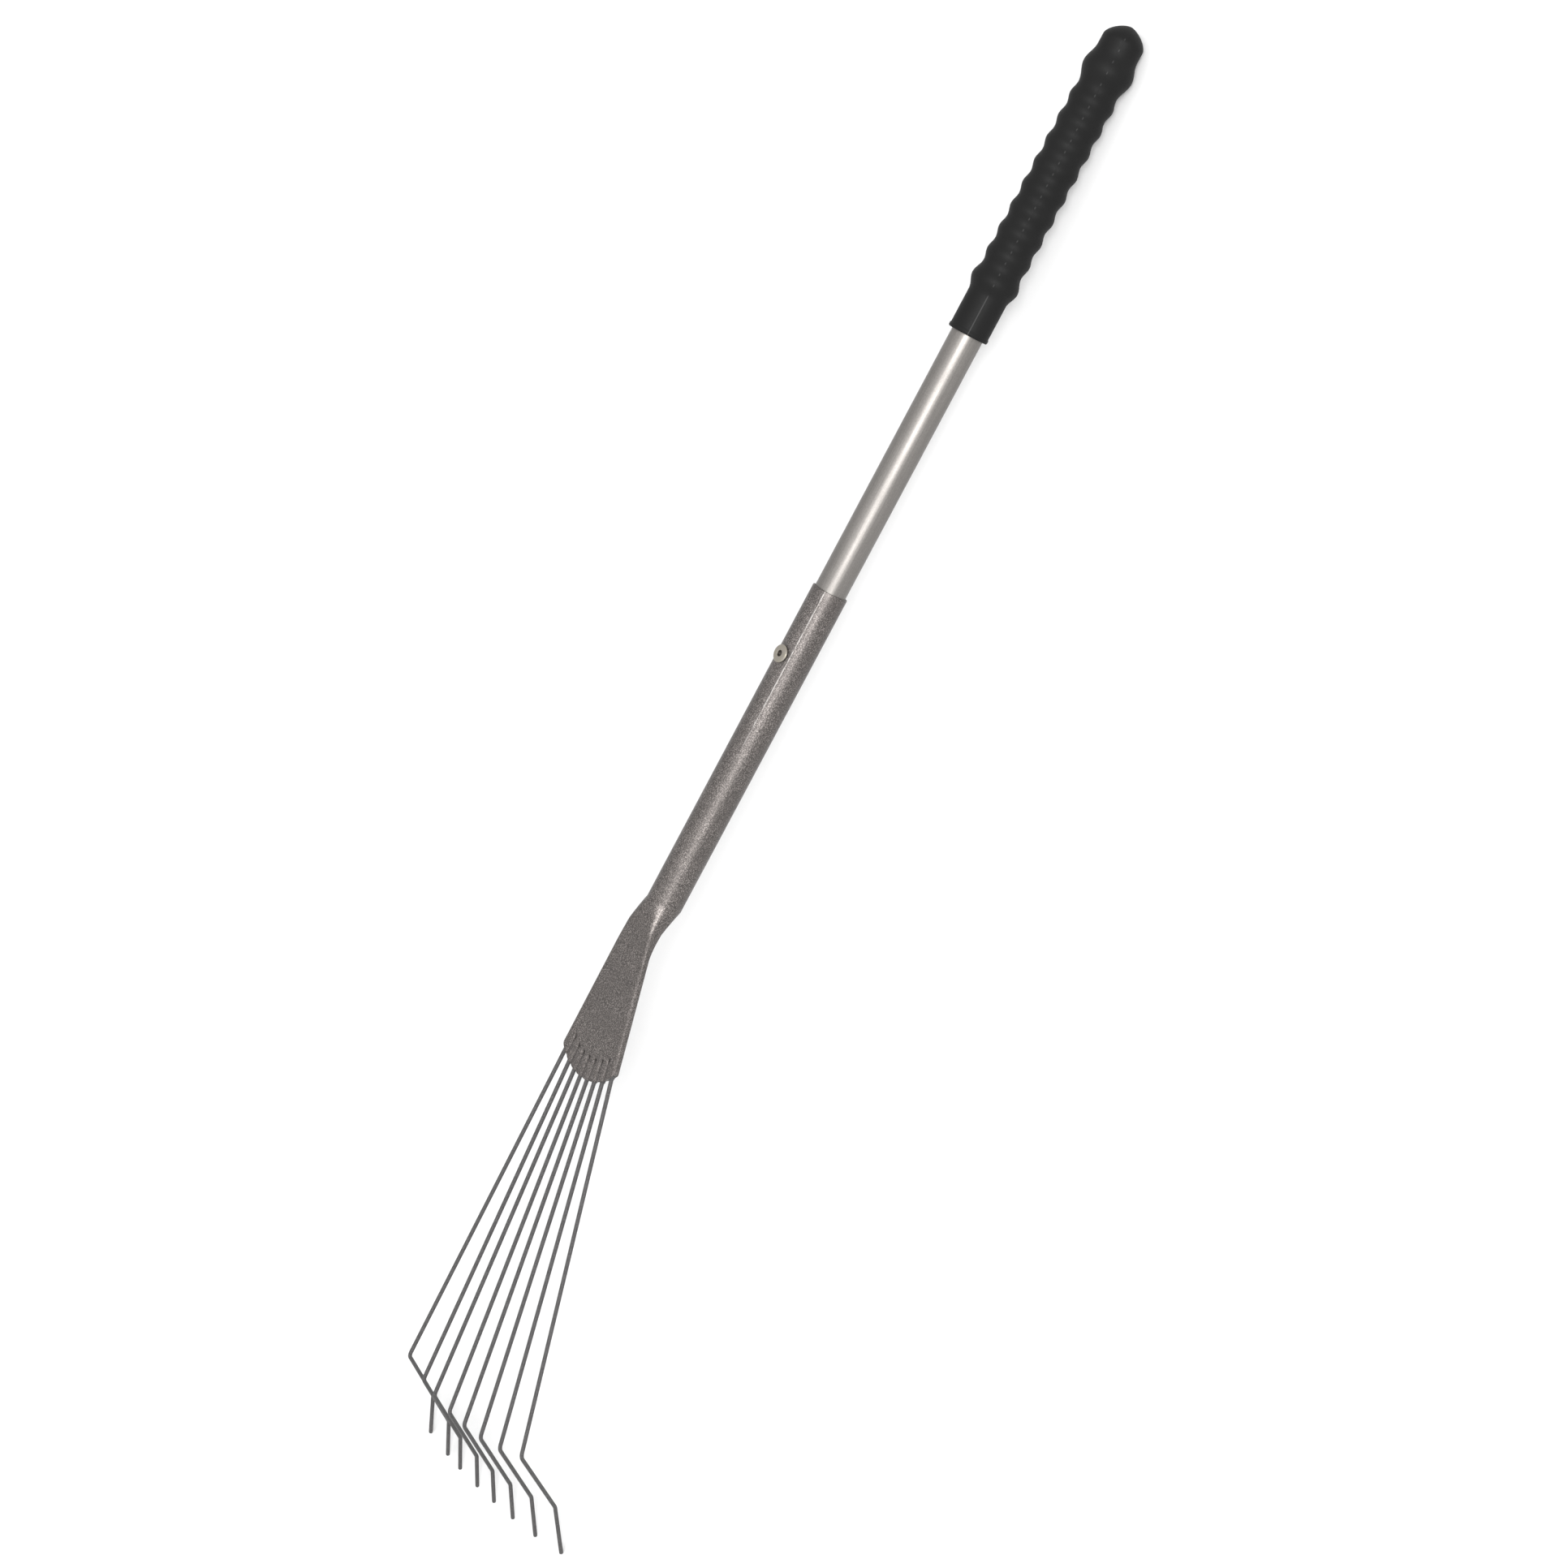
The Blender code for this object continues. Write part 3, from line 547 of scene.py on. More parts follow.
def metallic_powder_coat(name, base, flake, painted_highlight, metallic):
    """Sprayed and baked powder with metal flakes: a soft metal glow, bright and dark specks and a fine peel.

    The real flakes are about 0.1 mm across. They are drawn 0.7 mm across, so that they still show. In the
    press marks the coat is darkened as painted shade, and along the weld seam a paler colour is a painted
    highlight, broken into patches.
    """
    material, tree, shader, place = new_finish(name)
    flakes = noise(tree, place, 0.7, 2.0)
    cloud = noise(tree, place, 18.0, 3.0)
    peel = noise(tree, place, 1.6, 2.0)
    tint = flake_colours(tree, flakes, base, flake)
    tint = layered(tree, tint, tone(base, 0.88), ranged(tree, cloud, 0.35, 0.65, 0.0, 0.45))
    # Painted shade: the coat is darkened in the press marks, where the grooves lie in shade.
    pressed = ranged(tree, marked(tree, "press_shade"), 0.35, 1.0, 0.0, 0.95)
    tint = layered(tree, tint, tone(base, 0.2), pressed)
    # Painted highlight: a paler colour along the weld seam's bead, broken into patches by a noise.
    wear_and_seam_gaps = ranged(tree, noise(tree, place, 5.0, 3.0), 0.38, 0.56, 0.15, 1.0)
    seam_highlight = add_node(tree, "ShaderNodeMath", {"operation": "MULTIPLY"},
                    links={0: marked(tree, "weld_seam_highlight"), 1: wear_and_seam_gaps}).outputs["Value"]
    tint = layered(tree, tint, painted_highlight, seam_highlight)
    shader.inputs["Metallic"].default_value = metallic
    shader.inputs["Specular IOR Level"].default_value = metallic / 2
    tree.links.new(tint, shader.inputs["Base Color"])
    tree.links.new(ranged(tree, flakes, 0.3, 0.7, 0.39, 0.47), shader.inputs["Roughness"])
    relief(tree, shader, peel, 0.3, 0.00005)
    return material


def zinc_plating(name, pale, tinted):
    """Barrel plated zinc with a passivated skin: a pale bright metal, yellowish in soft patches."""
    material, tree, shader, place = new_finish(name)
    patches = noise(tree, place, 3.0, 3.0)
    shader.inputs["Metallic"].default_value = 0.9
    shader.inputs["Roughness"].default_value = 0.32
    tree.links.new(two_tone(tree, pale, tinted, patches), shader.inputs["Base Color"])
    relief(tree, shader, patches, 0.2, 0.00004)
    return material


# ---------------------------------------------------------------- grip

def bulge(height, middle, half, rise):
    """How far a round bulge stands out at a height."""
    distance = abs(height - middle) / half
    return rise * 0.5 * (1 + math.cos(math.pi * distance)) if distance < 1 else 0.0


def rib_span(grip):
    """Where the ribs start and stop above the open end, and the pitch between them."""
    ribs_from = grip.lower_bulge_at + grip.lower_bulge_half
    ribs_to = grip.long - grip.dome_height - grip.neck_length - 2 * grip.upper_bulge_half
    return ribs_from, ribs_to, (ribs_to - ribs_from) / grip.ribs


def highlight_share(grip, height):
    """How bright the painted highlight on the parting line is: all along the collar and in two spots on each
    rib.
    """
    if height < grip.lower_bulge_at - grip.lower_bulge_half:
        return 1.0
    ribs_from, _ribs_to, pitch = rib_span(grip)
    spot = 0.5 * (1 - math.cos(4 * math.pi * (height - ribs_from) / pitch))
    return blend(HIGHLIGHT_GROUND, 1.0, spot ** HIGHLIGHT_SPOT_SHARPNESS)


def grip_radius(grip, collar, height):
    """The grip's outer radius at a height below its dome."""
    ribs_from, ribs_to, pitch = rib_span(grip)
    valley = collar + grip.valley_rise
    if height <= grip.rim_height:
        around = 2 * height / grip.rim_height - 1
        return collar + grip.rim_rise * math.sqrt(max(1 - around ** 4, 0.0))
    if height < ribs_from:
        bulge_from = grip.lower_bulge_at - grip.lower_bulge_half
        base = blend(collar, valley, smooth_step((height - bulge_from) / (ribs_from - bulge_from)))
        return base + bulge(height, grip.lower_bulge_at, grip.lower_bulge_half,
                            grip.lower_bulge_rise - grip.valley_rise)
    if height <= ribs_to:
        wave = 0.5 * (1 - math.cos(2 * math.pi * (height - ribs_from) / pitch))
        return valley + (grip.rib_rise - grip.valley_rise) * wave
    past_ribs = (height - ribs_to) / (2 * grip.upper_bulge_half)
    base = blend(valley, collar + grip.neck_rise, smooth_step(past_ribs))
    return base + bulge(height, ribs_to + grip.upper_bulge_half, grip.upper_bulge_half,
                        grip.upper_bulge_rise - grip.valley_rise)


def flash_rise(grip, radius, turn):
    """The raised parting line, which the two halves of the mould leave on opposite sides."""
    off = abs((turn - grip.flash_turn + math.pi / 2) % math.pi - math.pi / 2) * radius
    return grip.flash_height * math.exp(-(off / (grip.flash_width / 2)) ** 2)


def grip_turns(grip, radius):
    """Turns around the grip, closer together at the two parting lines."""
    turns = [2 * math.pi * i / GRIP_POINTS for i in range(GRIP_POINTS)]
    fine = grip.flash_width / radius / 4
    for side in (grip.flash_turn, grip.flash_turn + math.pi):
        turns = [t for t in turns if abs(t - side) > 5 * fine]
        turns += [side + fine * step for step in range(-4, 5)]
    return sorted(turns)


def grip_mesh(tubes, grip):
    """The moulded sleeve: rim, collar, bulges, ribs, domed end, bore and parting lines, with the shares of
    the parting lines' painted highlight.
    """
    bore = tubes.upper_width / 2 + FIT_GAP
    collar = bore + grip.wall
    start = tubes.lower_length + tubes.shown
    foot = grip.long - grip.dome_height
    turns = grip_turns(grip, collar)
    profile = []
    for height in spread(0.0, foot, round(foot / GRIP_RING_STEP)):
        profile.append((grip_radius(grip, collar, height), height, 1.0))
    dome = collar + grip.neck_rise
    for i in range(1, DOME_STEPS):
        rise = math.sin(math.pi / 2 * i / DOME_STEPS)
        radius = dome * (1 - rise ** GRIP_DOME_POWER) ** (1 / GRIP_DOME_POWER)
        profile.append((radius, foot + grip.dome_height * rise, 1 - rise))
    rings = []
    for height in (grip.long - GRIP_END_WALL, 0.0):
        rings.append([Vector((-bore * math.cos(t), -bore * math.sin(t), start + height)) for t in turns])
    lines = [0.0] * (2 * len(turns))
    for radius, height, flash in profile:
        ring = []
        for t in turns:
            rise = flash * flash_rise(grip, radius, t)
            r = radius + rise
            ring.append(Vector((-r * math.cos(t), -r * math.sin(t), start + height)))
            # The point's share of the painted highlight on the parting line.
            lines.append(rise / grip.flash_height * highlight_share(grip, height))
        rings.append(ring)
    return skin(rings, True, True), lines


class RAKE_OT_grip(bpy.types.Operator):
    """Build the moulded grip at the end of the handle"""
    bl_idname = "rake.grip"
    bl_label = "Grip"

    def execute(self, context):
        scene = context.scene
        place = handle_frame(scene.rake_tubes, scene.rake_tines)
        bm, lines = grip_mesh(scene.rake_tubes, scene.rake_grip)
        piece = add_piece("moulded_grip", bm, place, moulded_pvc(scene.rake_grip), "grip")
        mark_points(piece, "parting_line_highlight", lines)
        return {"FINISHED"}


# ---------------------------------------------------------------- tubes

def cut_edge(outer, inner, height, rounding):
    """The rounded cut edge of a tube, from its outside over the top to its inside."""
    line = []
    for i in range(ROUND_STEPS + 1):
        turn = math.pi / 2 * i / ROUND_STEPS
        line.append((outer - rounding * (1 - math.cos(turn)), height - rounding * (1 - math.sin(turn))))
    for i in range(ROUND_STEPS + 1):
        turn = math.pi / 2 * i / ROUND_STEPS
        line.append((inner + rounding * (1 - math.sin(turn)), height - rounding * (1 - math.cos(turn))))
    return line


def upper_tube_profile(tubes, grip, rivet):
    """The slim tube's wall as a closed line, with rounded cut ends and close rings around the rivet hole."""
    outer = tubes.upper_width / 2
    inner = outer - tubes.wall
    bottom = tubes.lower_length - tubes.overlap
    top = tubes.lower_length + tubes.shown + grip.long - GRIP_END_WALL - FIT_GAP
    middle = (bottom + top) / 2
    upper = cut_edge(outer, inner, top, tubes.edge)
    lower = [(radius, 2 * middle - height) for radius, height in reversed(upper)]
    hole = tubes.lower_length - rivet.below_edge
    heights = [hole - rivet.sleeve, hole + rivet.sleeve]
    down = [(inner, height) for height in reversed(heights)]
    up = [(outer, height) for height in heights]
    return upper + down + lower + up


class RAKE_OT_upper_tube(bpy.types.Operator):
    """Build the silver upper tube of the handle"""
    bl_idname = "rake.upper_tube"
    bl_label = "Upper tube"

    def execute(self, context):
        scene = context.scene
        tubes = scene.rake_tubes
        rivet = scene.rake_rivet
        place = handle_frame(tubes, scene.rake_tines)
        finish = lacquered_drawn_steel(tubes, place)
        bm = turned(upper_tube_profile(tubes, scene.rake_grip, rivet), TUBE_POINTS, True)
        piece = add_piece("silver_upper_tube", bm, place, finish, "upper_tube")
        hole = rivet_frame(tubes, scene.rake_tines, rivet)
        drill(piece, hole, rivet.sleeve / 2 + FIT_GAP, lower_width(tubes))
        return {"FINISHED"}


# ---------------------------------------------------------------- lower tube and head plate

def rim_point(share, half_width, half_height, radius):
    """A point on a rounded rectangle, at a share of the way round it from the middle of its back."""
    flat = half_width - radius
    side = half_height - radius
    arc = radius * math.pi / 2
    quarter = flat + arc + side
    lap, step = divmod(share % 1.0 * 4 * quarter, quarter)
    if lap % 2:
        step = quarter - step
    if step <= flat:
        across, up = step, half_height
    elif step <= flat + arc:
        turn = (step - flat) / radius
        across, up = flat + radius * math.sin(turn), side + radius * math.cos(turn)
    else:
        across, up = half_width, side - (step - flat - arc)
    return (across if lap < 2 else -across), (up if lap in (0, 3) else -up)


class HeadShape:
    """The lower tube's outside: a plate with a round end, a flare round the crease, and a tube."""

    def __init__(self, tubes, head, tines):
        self.head = head
        self.tines = tines
        self.crank = tubes.crank
        self.tube = lower_width(tubes) / 2
        self.half_height = plate_thickness(tines) / 2
        self.half_end = plate_half_end(tines)
        self.shares = [i / HEAD_POINTS for i in range(HEAD_POINTS)]
        self.ends = [self.end_place(share) for share in self.shares]
        self.marks = []

    def half_width(self, x):
        """Half the plate's width at a distance behind its end."""
        share = (FLAT_LENGTH - x) / (FLAT_LENGTH - WIDEST_AT)
        return self.head.neck_width / 2 + share * (self.half_end - self.head.neck_width / 2)

    def end_place(self, share):
        """How far back the round end lies for a point of the section."""
        x = 0.0
        for _ in range(6):
            across, _up = rim_point(share, self.half_width(x), self.half_height, self.head.edge_radius)
            x = end_line(self.head, self.tines, across)
        return x

    def press(self, x, across, behind_end):
        """How far the press has pushed the plate in between the wires, deepest where its teeth began."""
        half_fan = self.tines.root_spread / 2 - x * math.tan(self.tines.fan / 2)
        outer_lane = (self.tines.count - 1) / 2
        lane = across / half_fan * outer_lane
        if abs(lane) > outer_lane:
            return 0.0
        groove = (0.5 * (1 + math.cos(2 * math.pi * (lane + (self.tines.count % 2) / 2)))) ** GROOVE_SHARPNESS
        reach = self.head.crimp_length - behind_end
        tooth = math.exp(-((reach - TOOTH_AT) / TOOTH_HALF) ** 2)
        return groove * smooth_step(reach / PRESS_FADE) * blend(SHALLOW_PRESS, 1.0, tooth)

    def plate_ring(self, middle, bow, inset):
        """A ring across the plate, bent along the round end as far as bow says."""
        ring = []
        for share, end in zip(self.shares, self.ends):
            x = middle + bow * end
            across, up = rim_point(share, self.half_width(x) - inset, self.half_height - inset,
                                   self.head.edge_radius - inset)
            side = math.copysign(1.0, up)
            level = smooth_step((abs(up) - self.half_height + inset + PRESS_EDGE) / PRESS_EDGE)
            pressed = level * self.press(x, across, middle)
            # The depth also sets how dark the painted shade in the press marks is.
            self.marks.append(pressed)
            up -= side * pressed * self.head.crimp_depth
            ring.append(Vector((x, across, up)))
        return ring

    def flare_ring(self, distance, flare):
        """A ring over the flare and the tube, at a distance along the back from the end of the full flat."""
        share = min(distance / flare, 1.0) ** FLARE_POWER
        wide = blend(self.half_width(FLAT_LENGTH + min(distance, flare)), self.tube, share)
        high = blend(self.half_height, self.tube, share)
        radius = blend(self.head.edge_radius, self.tube, share ** EDGE_SHARPNESS)
        lean = self.crank * share
        outward = Vector((math.sin(lean), 0, math.cos(lean)))
        centre = self.back_line(distance) - outward * high
        ring = []
        for around in self.shares:
            across, up = rim_point(around, wide, high, radius)
            ring.append(centre + Vector((0, across, 0)) + outward * up)
        return ring

    def back_line(self, distance):
        """A point on the back's middle line: level up to the crease, then down the handle."""
        level = CREASE_AT - FLAT_LENGTH
        if distance <= level:
            return Vector((FLAT_LENGTH + distance, 0, self.half_height))
        forward = Vector((math.cos(self.crank), 0, -math.sin(self.crank)))
        return Vector((CREASE_AT, 0, self.half_height)) + forward * (distance - level)


def seam_rise(tubes, radius, share):
    """The weld seam's raised bead on the tube's outside."""
    place = 1 - tubes.seam_turn / (2 * math.pi)
    off = abs(share - place) * 2 * math.pi * radius
    return tubes.seam_height * math.exp(-(off / (tubes.seam_width / 2)) ** 2)


def plate_rings(shape, head):
    """The rings over the plate: round its cut end, close together over the press marks, then wider apart."""
    rings = []
    for i in range(ROUND_STEPS + 1):
        turn = math.pi / 2 * (1 - i / ROUND_STEPS)
        inset = head.end_round * (1 - math.cos(turn))
        rings.append(shape.plate_ring(head.end_round * (1 - math.sin(turn)), 1.0, inset))
    crimped = head.crimp_length + CRIMP_MARGIN
    for middle in spread(head.end_round, crimped, round(crimped / CRIMP_RING_STEP))[1:]:
        rings.append(shape.plate_ring(middle, 1.0, 0.0))
    for middle in spread(crimped, STRAIGHT_FROM, PLATE_RINGS)[1:]:
        rings.append(shape.plate_ring(middle, (STRAIGHT_FROM - middle) / (STRAIGHT_FROM - crimped), 0.0))
    for middle in spread(STRAIGHT_FROM, FLAT_LENGTH, PLATE_RINGS)[1:]:
        rings.append(shape.plate_ring(middle, 0.0, 0.0))
    return rings


def tube_line(tubes, outer):
    """The tube's wall as (radius, height, weld seam's share) points, up its outside and down its inside."""
    inner = tubes.upper_width / 2 + SLIDE_GAP
    top = tubes.lower_length
    heights = [ROUND_FROM + rise for rise in CLOSE_RINGS]
    heights += spread(ROUND_FROM + TUBE_RINGS_FROM, top - tubes.edge, TUBE_RINGS)
    line = [(outer, height, smooth_step((height - tubes.seam_from) / SEAM_FADE)) for height in heights]
    for radius, height in cut_edge(outer, inner, top, tubes.edge)[1:]:
        line.append((radius, height, 1.0 if radius > inner + tubes.wall / 2 else 0.0))
    for height in (top - BORE_RING_DEPTH, top - tubes.overlap, ROUND_FROM):
        line.append((inner, height, 0.0))
    return line


def lower_tube_mesh(tubes, head, tines):
    """The wide tube with its flattened, flared and crimped lower end, in the plate's frame, with the shares
    of its painted shade and painted highlight.
    """
    shape = HeadShape(tubes, head, tines)
    rings = plate_rings(shape, head)
    flare = CREASE_AT - FLAT_LENGTH + shape.tube * math.tan(tubes.crank) + ROUND_FROM
    for distance in spread(0.0, flare, FLARE_RINGS)[1:]:
        rings.append(shape.flare_ring(distance, flare))
    plate_to_handle = plate_frame(tines).inverted() @ handle_frame(tubes, tines)
    seams = [0.0] * (len(rings) * HEAD_POINTS)
    for radius, height, seam in tube_line(tubes, shape.tube):
        ring = []
        for share in shape.shares:
            rise = seam * seam_rise(tubes, radius, share)
            r = radius + rise
            seams.append(rise / tubes.seam_height)
            turn = 2 * math.pi * share
            ring.append(plate_to_handle @ Vector((-r * math.cos(turn), r * math.sin(turn), height)))
        rings.append(ring)
    bm = skin(rings, False, True)
    close_plate_end(bm, HEAD_POINTS)
    return bm, shape.marks, seams


def close_plate_end(bm, count):
    """Fill the plate's round end with a strip of faces between its back and its front."""
    bm.verts.ensure_lookup_table()
    row = bm.verts[:count]
    half = count // 2
    for i in range(count // 4, count // 4 + half):
        low = row[i]
        high = row[(half - i) % count]
        next_low = row[i + 1]
        next_high = row[(half - i - 1) % count]
        corners = []
        for vert in (low, next_low, next_high, high):
            if vert not in corners:
                corners.append(vert)
        if len(corners) > 2:
            bm.faces.new(corners)
    bmesh.ops.recalc_face_normals(bm, faces=bm.faces)


class RAKE_OT_lower_tube(bpy.types.Operator):
    """Build the grey lower tube with its flattened head plate"""
    bl_idname = "rake.lower_tube"
    bl_label = "Lower tube and head plate"

    def execute(self, context):
        scene = context.scene
        tubes = scene.rake_tubes
        place = plate_frame(scene.rake_tines)
        finish = metallic_powder_coat("grey_metallic_powder_coat", tubes.grey, tubes.flake, tubes.seam, 0.8)
        bm, marks, seams = lower_tube_mesh(tubes, scene.rake_head, scene.rake_tines)
        piece = add_piece("grey_lower_tube", bm, place, finish, "lower_tube")
        mark_points(piece, "press_shade", marks)
        mark_points(piece, "weld_seam_highlight", seams)
        hole = rivet_frame(tubes, scene.rake_tines, scene.rake_rivet)
        drill(piece, hole, scene.rake_rivet.sleeve / 2 + FIT_GAP, lower_width(tubes))
        return {"FINISHED"}


# ---------------------------------------------------------------- rivet

def bulge_top_height(tubes):
    """How far from the tubes' axis the rivet's swelled end touches the upper tube's inside."""
    inner_wall = tubes.upper_width / 2 - tubes.wall
    return math.sqrt(inner_wall ** 2 - (RIVET_BULGE_OD / 2) ** 2) - FIT_GAP


def rivet_sleeve_profile(tubes, rivet):
    """The blind rivet's sleeve: a domed flange outside and a swelled end inside the upper tube."""
    seat = lower_width(tubes) / 2 + FIT_GAP
    bulge_radius = RIVET_BULGE_OD / 2
    bulge_top = bulge_top_height(tubes)
    bulge_middle = bulge_top - RIVET_BULGE_LENGTH / 2
    sleeve = rivet.sleeve / 2
    bore = rivet.pin / 2 + FIT_GAP
    flange = rivet.flange / 2
    crown = seat + rivet.height
    shoulder = seat + rivet.rim
    lip = bore + rivet.lip
    line = [(bore, crown - rivet.lip / 2), (bore + rivet.lip / 2, crown - rivet.lip / 8)]
    for i in range(FLANGE_STEPS + 1):
        turn = math.pi / 2 * (1 - i / FLANGE_STEPS)
        line.append((lip + (flange - lip) * math.cos(turn), shoulder + (crown - shoulder) * math.sin(turn)))
    line += [(flange, seat + rivet.rim / 4), (flange - rivet.rim / 4, seat)]
    line += [(sleeve, seat), (sleeve, bulge_top)]
    for i in range(BULGE_STEPS + 1):
        turn = math.pi * (0.5 - i / BULGE_STEPS)
        line.append((sleeve + (bulge_radius - sleeve) * math.cos(turn),
                     bulge_middle + RIVET_BULGE_LENGTH / 2 * math.sin(turn)))
    line.append((bore, bulge_top - RIVET_BULGE_LENGTH))
    return line


def rivet_pin_profile(tubes, rivet):
    """The pin left in the rivet: a rough break inside the flange and a round head under the swelled end."""
    crown = lower_width(tubes) / 2 + FIT_GAP + rivet.height
    head_top = bulge_top_height(tubes) - RIVET_BULGE_LENGTH - FIT_GAP
    pin = rivet.pin / 2
    head = MANDREL_HEAD_OD / 2
    top = crown - rivet.recess
    bump = BREAK_ROUGHNESS
    line = [(pin * 0.35, top + bump), (pin * 0.6, top - bump), (pin * 0.9, top), (pin, top - 2 * bump)]
    line += [(pin, head_top), (head * 0.94, head_top)]
    for i in range(PIN_HEAD_STEPS):
        turn = math.pi / 2 * i / PIN_HEAD_STEPS
        drop = 2 * bump + (MANDREL_HEAD_LENGTH - 2 * bump) * math.sin(turn)
        line.append((head * math.cos(turn), head_top - drop))
    return line


class RAKE_OT_rivet(bpy.types.Operator):
    """Build the blind rivet that holds the two tubes together"""
    bl_idname = "rake.rivet"
    bl_label = "Rivet"

    def execute(self, context):
        scene = context.scene
        tubes = scene.rake_tubes
        rivet = scene.rake_rivet
        place = rivet_frame(tubes, scene.rake_tines, rivet)
        plated = zinc_plating("passivated_zinc_plating", rivet.zinc, rivet.patch)
        sleeve = turned(rivet_sleeve_profile(tubes, rivet), RIVET_POINTS, True)
        add_piece("rivet_sleeve", sleeve, place, plated, "rivet_body")
        # Partly painted shade: the pin lies deep in the hole, and its dark colour stands for the shade there
        # as well as for bare steel.
        snapped = zinc_plating("shaded_snapped_steel_pin", rivet.broken, rivet.broken)
        pin = turned(rivet_pin_profile(tubes, rivet), RIVET_POINTS, False)
        add_piece("rivet_pin", pin, place, snapped, "rivet_mandrel")
        return {"FINISHED"}


# ---------------------------------------------------------------- tines

def tine_path(head, tines, number):
    """A tine's middle line: straight out of the plate, hooked down towards the ground, then a flatter toe."""
    share = 1 - 2 * number / (tines.count - 1)
    across = share * tines.root_spread / 2
    radius = bow_radius(plate_half_end(tines), ROOT_BOW)
    turn = share * tines.fan / 2
    if number < len(TINE_SET):
        turn += TINE_SET[number]
    root = Vector((radius - math.sqrt(radius ** 2 - across ** 2), across, 0))
    direction = Vector((-math.cos(turn), math.sin(turn), 0))
    down = Vector((0, 0, -1))
    hook = direction * math.cos(tines.hook_angle) + down * math.sin(tines.hook_angle)
    toe = direction * math.cos(tines.toe_angle) + down * math.sin(tines.toe_angle)
    bend = root + direction * tines.straight
    knee = bend + hook * tines.hook
    tip = knee + toe * (tines.toe + tines.toe_extra * share ** 2)
    end = end_line(head, tines, across)
    leave = root - direction * ((end - root.x) / math.cos(turn))
    path = [leave - direction * WIRE_SEAT_DEPTH]
    path += [leave + direction * step for step in PAINT_STEPS]
    path += bent(path[-1], bend, knee) + bent(bend, knee, tip)
    path += [tip - toe * back for back in TIP_STEPS]
    return path


def bent(before, corner, after):
    """The arc of a bend, as points."""
    come = (corner - before).normalized()
    leave = (after - corner).normalized()
    turn = come.angle(leave)
    centre = corner + (leave - come).normalized() * (BEND_RADIUS / math.cos(turn / 2))
    start = corner - come * BEND_RADIUS * math.tan(turn / 2) - centre
    axis = come.cross(leave).normalized()
    return [centre + Matrix.Rotation(turn * i / BEND_STEPS, 3, axis) @ start for i in range(BEND_STEPS + 1)]


def wire_mesh(path, radii):
    """A round wire along a path, with a radius at each point."""
    rings = []
    side = (path[1] - path[0]).cross(Vector((0, 0, 1))).normalized()
    for i, point in enumerate(path):
        ahead = path[min(i + 1, len(path) - 1)] - path[max(i - 1, 0)]
        along = ahead.normalized()
        side = (side - along * side.dot(along)).normalized()
        other = along.cross(side)
        ring = []
        for k in range(WIRE_POINTS):
            turn = 2 * math.pi * k / WIRE_POINTS
            ring.append(point + (side * math.cos(turn) + other * math.sin(turn)) * radii[i])
        rings.append(ring)
    return skin(rings, True, True)


def tine_radii(tines, count):
    """The wire's radius along its path: a paint fillet where it leaves the plate and a worn tip."""
    radius = tines.wire / 2
    radii = [radius] * count
    for i, build_up in enumerate(PAINT_BUILD_UP):
        radii[i] += build_up
    radii[-len(TIP_WEAR):] = [radius - wear_and_seam_gaps for wear_and_seam_gaps in TIP_WEAR]
    return radii


class RAKE_OT_tines(bpy.types.Operator):
    """Build the fan of spring wire tines"""
    bl_idname = "rake.tines"
    bl_label = "Tines"

    def execute(self, context):
        scene = context.scene
        tines = scene.rake_tines
        pale = tone(tines.paint, 1.5)
        finish = metallic_powder_coat("painted_spring_wire", tines.paint, pale, pale, 0.2)
        place = fan_frame(tines)
        for number in range(tines.count):
            path = tine_path(scene.rake_head, tines, number)
            bm = wire_mesh(path, tine_radii(tines, len(path)))
            add_piece("spring_tine_%d" % (number + 1), bm, place, finish, "tine_%d" % (number + 1))
        return {"FINISHED"}


# ---------------------------------------------------------------- studio

def add_light(name, place, target, size, power):
    """A soft white rectangular light that looks at a target."""
    data = bpy.data.lights.new(name, "AREA")
    data.shape = "RECTANGLE"
    data.size, data.size_y = size
    data.energy = power
    light = bpy.data.objects.new(name, data)
    bpy.context.scene.collection.objects.link(light)
    light.location = place
    light.rotation_euler = (Vector(target) - Vector(place)).to_track_quat("-Z", "Y").to_euler()
    return light


def lay_floor(studio):
    """A large square of matt paper with hardly any pattern in its gloss."""
    half = studio.floor_side / 2
    mesh = bpy.data.meshes.new("studio_floor")
    corners = [(-half, -half, 0), (half, -half, 0), (half, half, 0), (-half, half, 0)]
    mesh.from_pydata(corners, [], [(0, 1, 2, 3)])
    material, tree, shader, place = new_finish("matt_paper_floor")
    fibre = noise(tree, place, 500.0, 2.0)
    tree.links.new(ranged(tree, fibre, 0.0, 1.0, 0.85, 0.95), shader.inputs["Roughness"])
    shader.inputs["Base Color"].default_value = studio.floor
    shader.inputs["Specular IOR Level"].default_value = 0.1
    mesh.materials.append(material)
    floor = bpy.data.objects.new("studio_floor", mesh)
    bpy.context.scene.collection.objects.link(floor)


def light_surroundings(studio):
    """Even light from all sides, with a stronger soft patch above."""
    world = bpy.data.worlds.new("studio_light")
    bpy.context.scene.world = world
    world.use_nodes = True
    tree = world.node_tree
    sky = tree.nodes["Background"]
    sky.inputs["Color"].default_value = studio.sky
    way = add_node(tree, "ShaderNodeTexCoord").outputs["Generated"]
    nearness = add_node(tree, "ShaderNodeVectorMath", {"operation": "DOT_PRODUCT"},
                        {1: BRIGHTEST_WAY}, {0: way})
    soft_top = add_node(tree, "ShaderNodeMapRange", {"interpolation_type": "SMOOTHSTEP"},
                        {"From Min": 0.5, "From Max": 1.0, "To Min": studio.side_strength,
                         "To Max": studio.top_strength}, {"Value": nearness.outputs["Value"]})
    tree.links.new(soft_top.outputs["Result"], sky.inputs["Strength"])


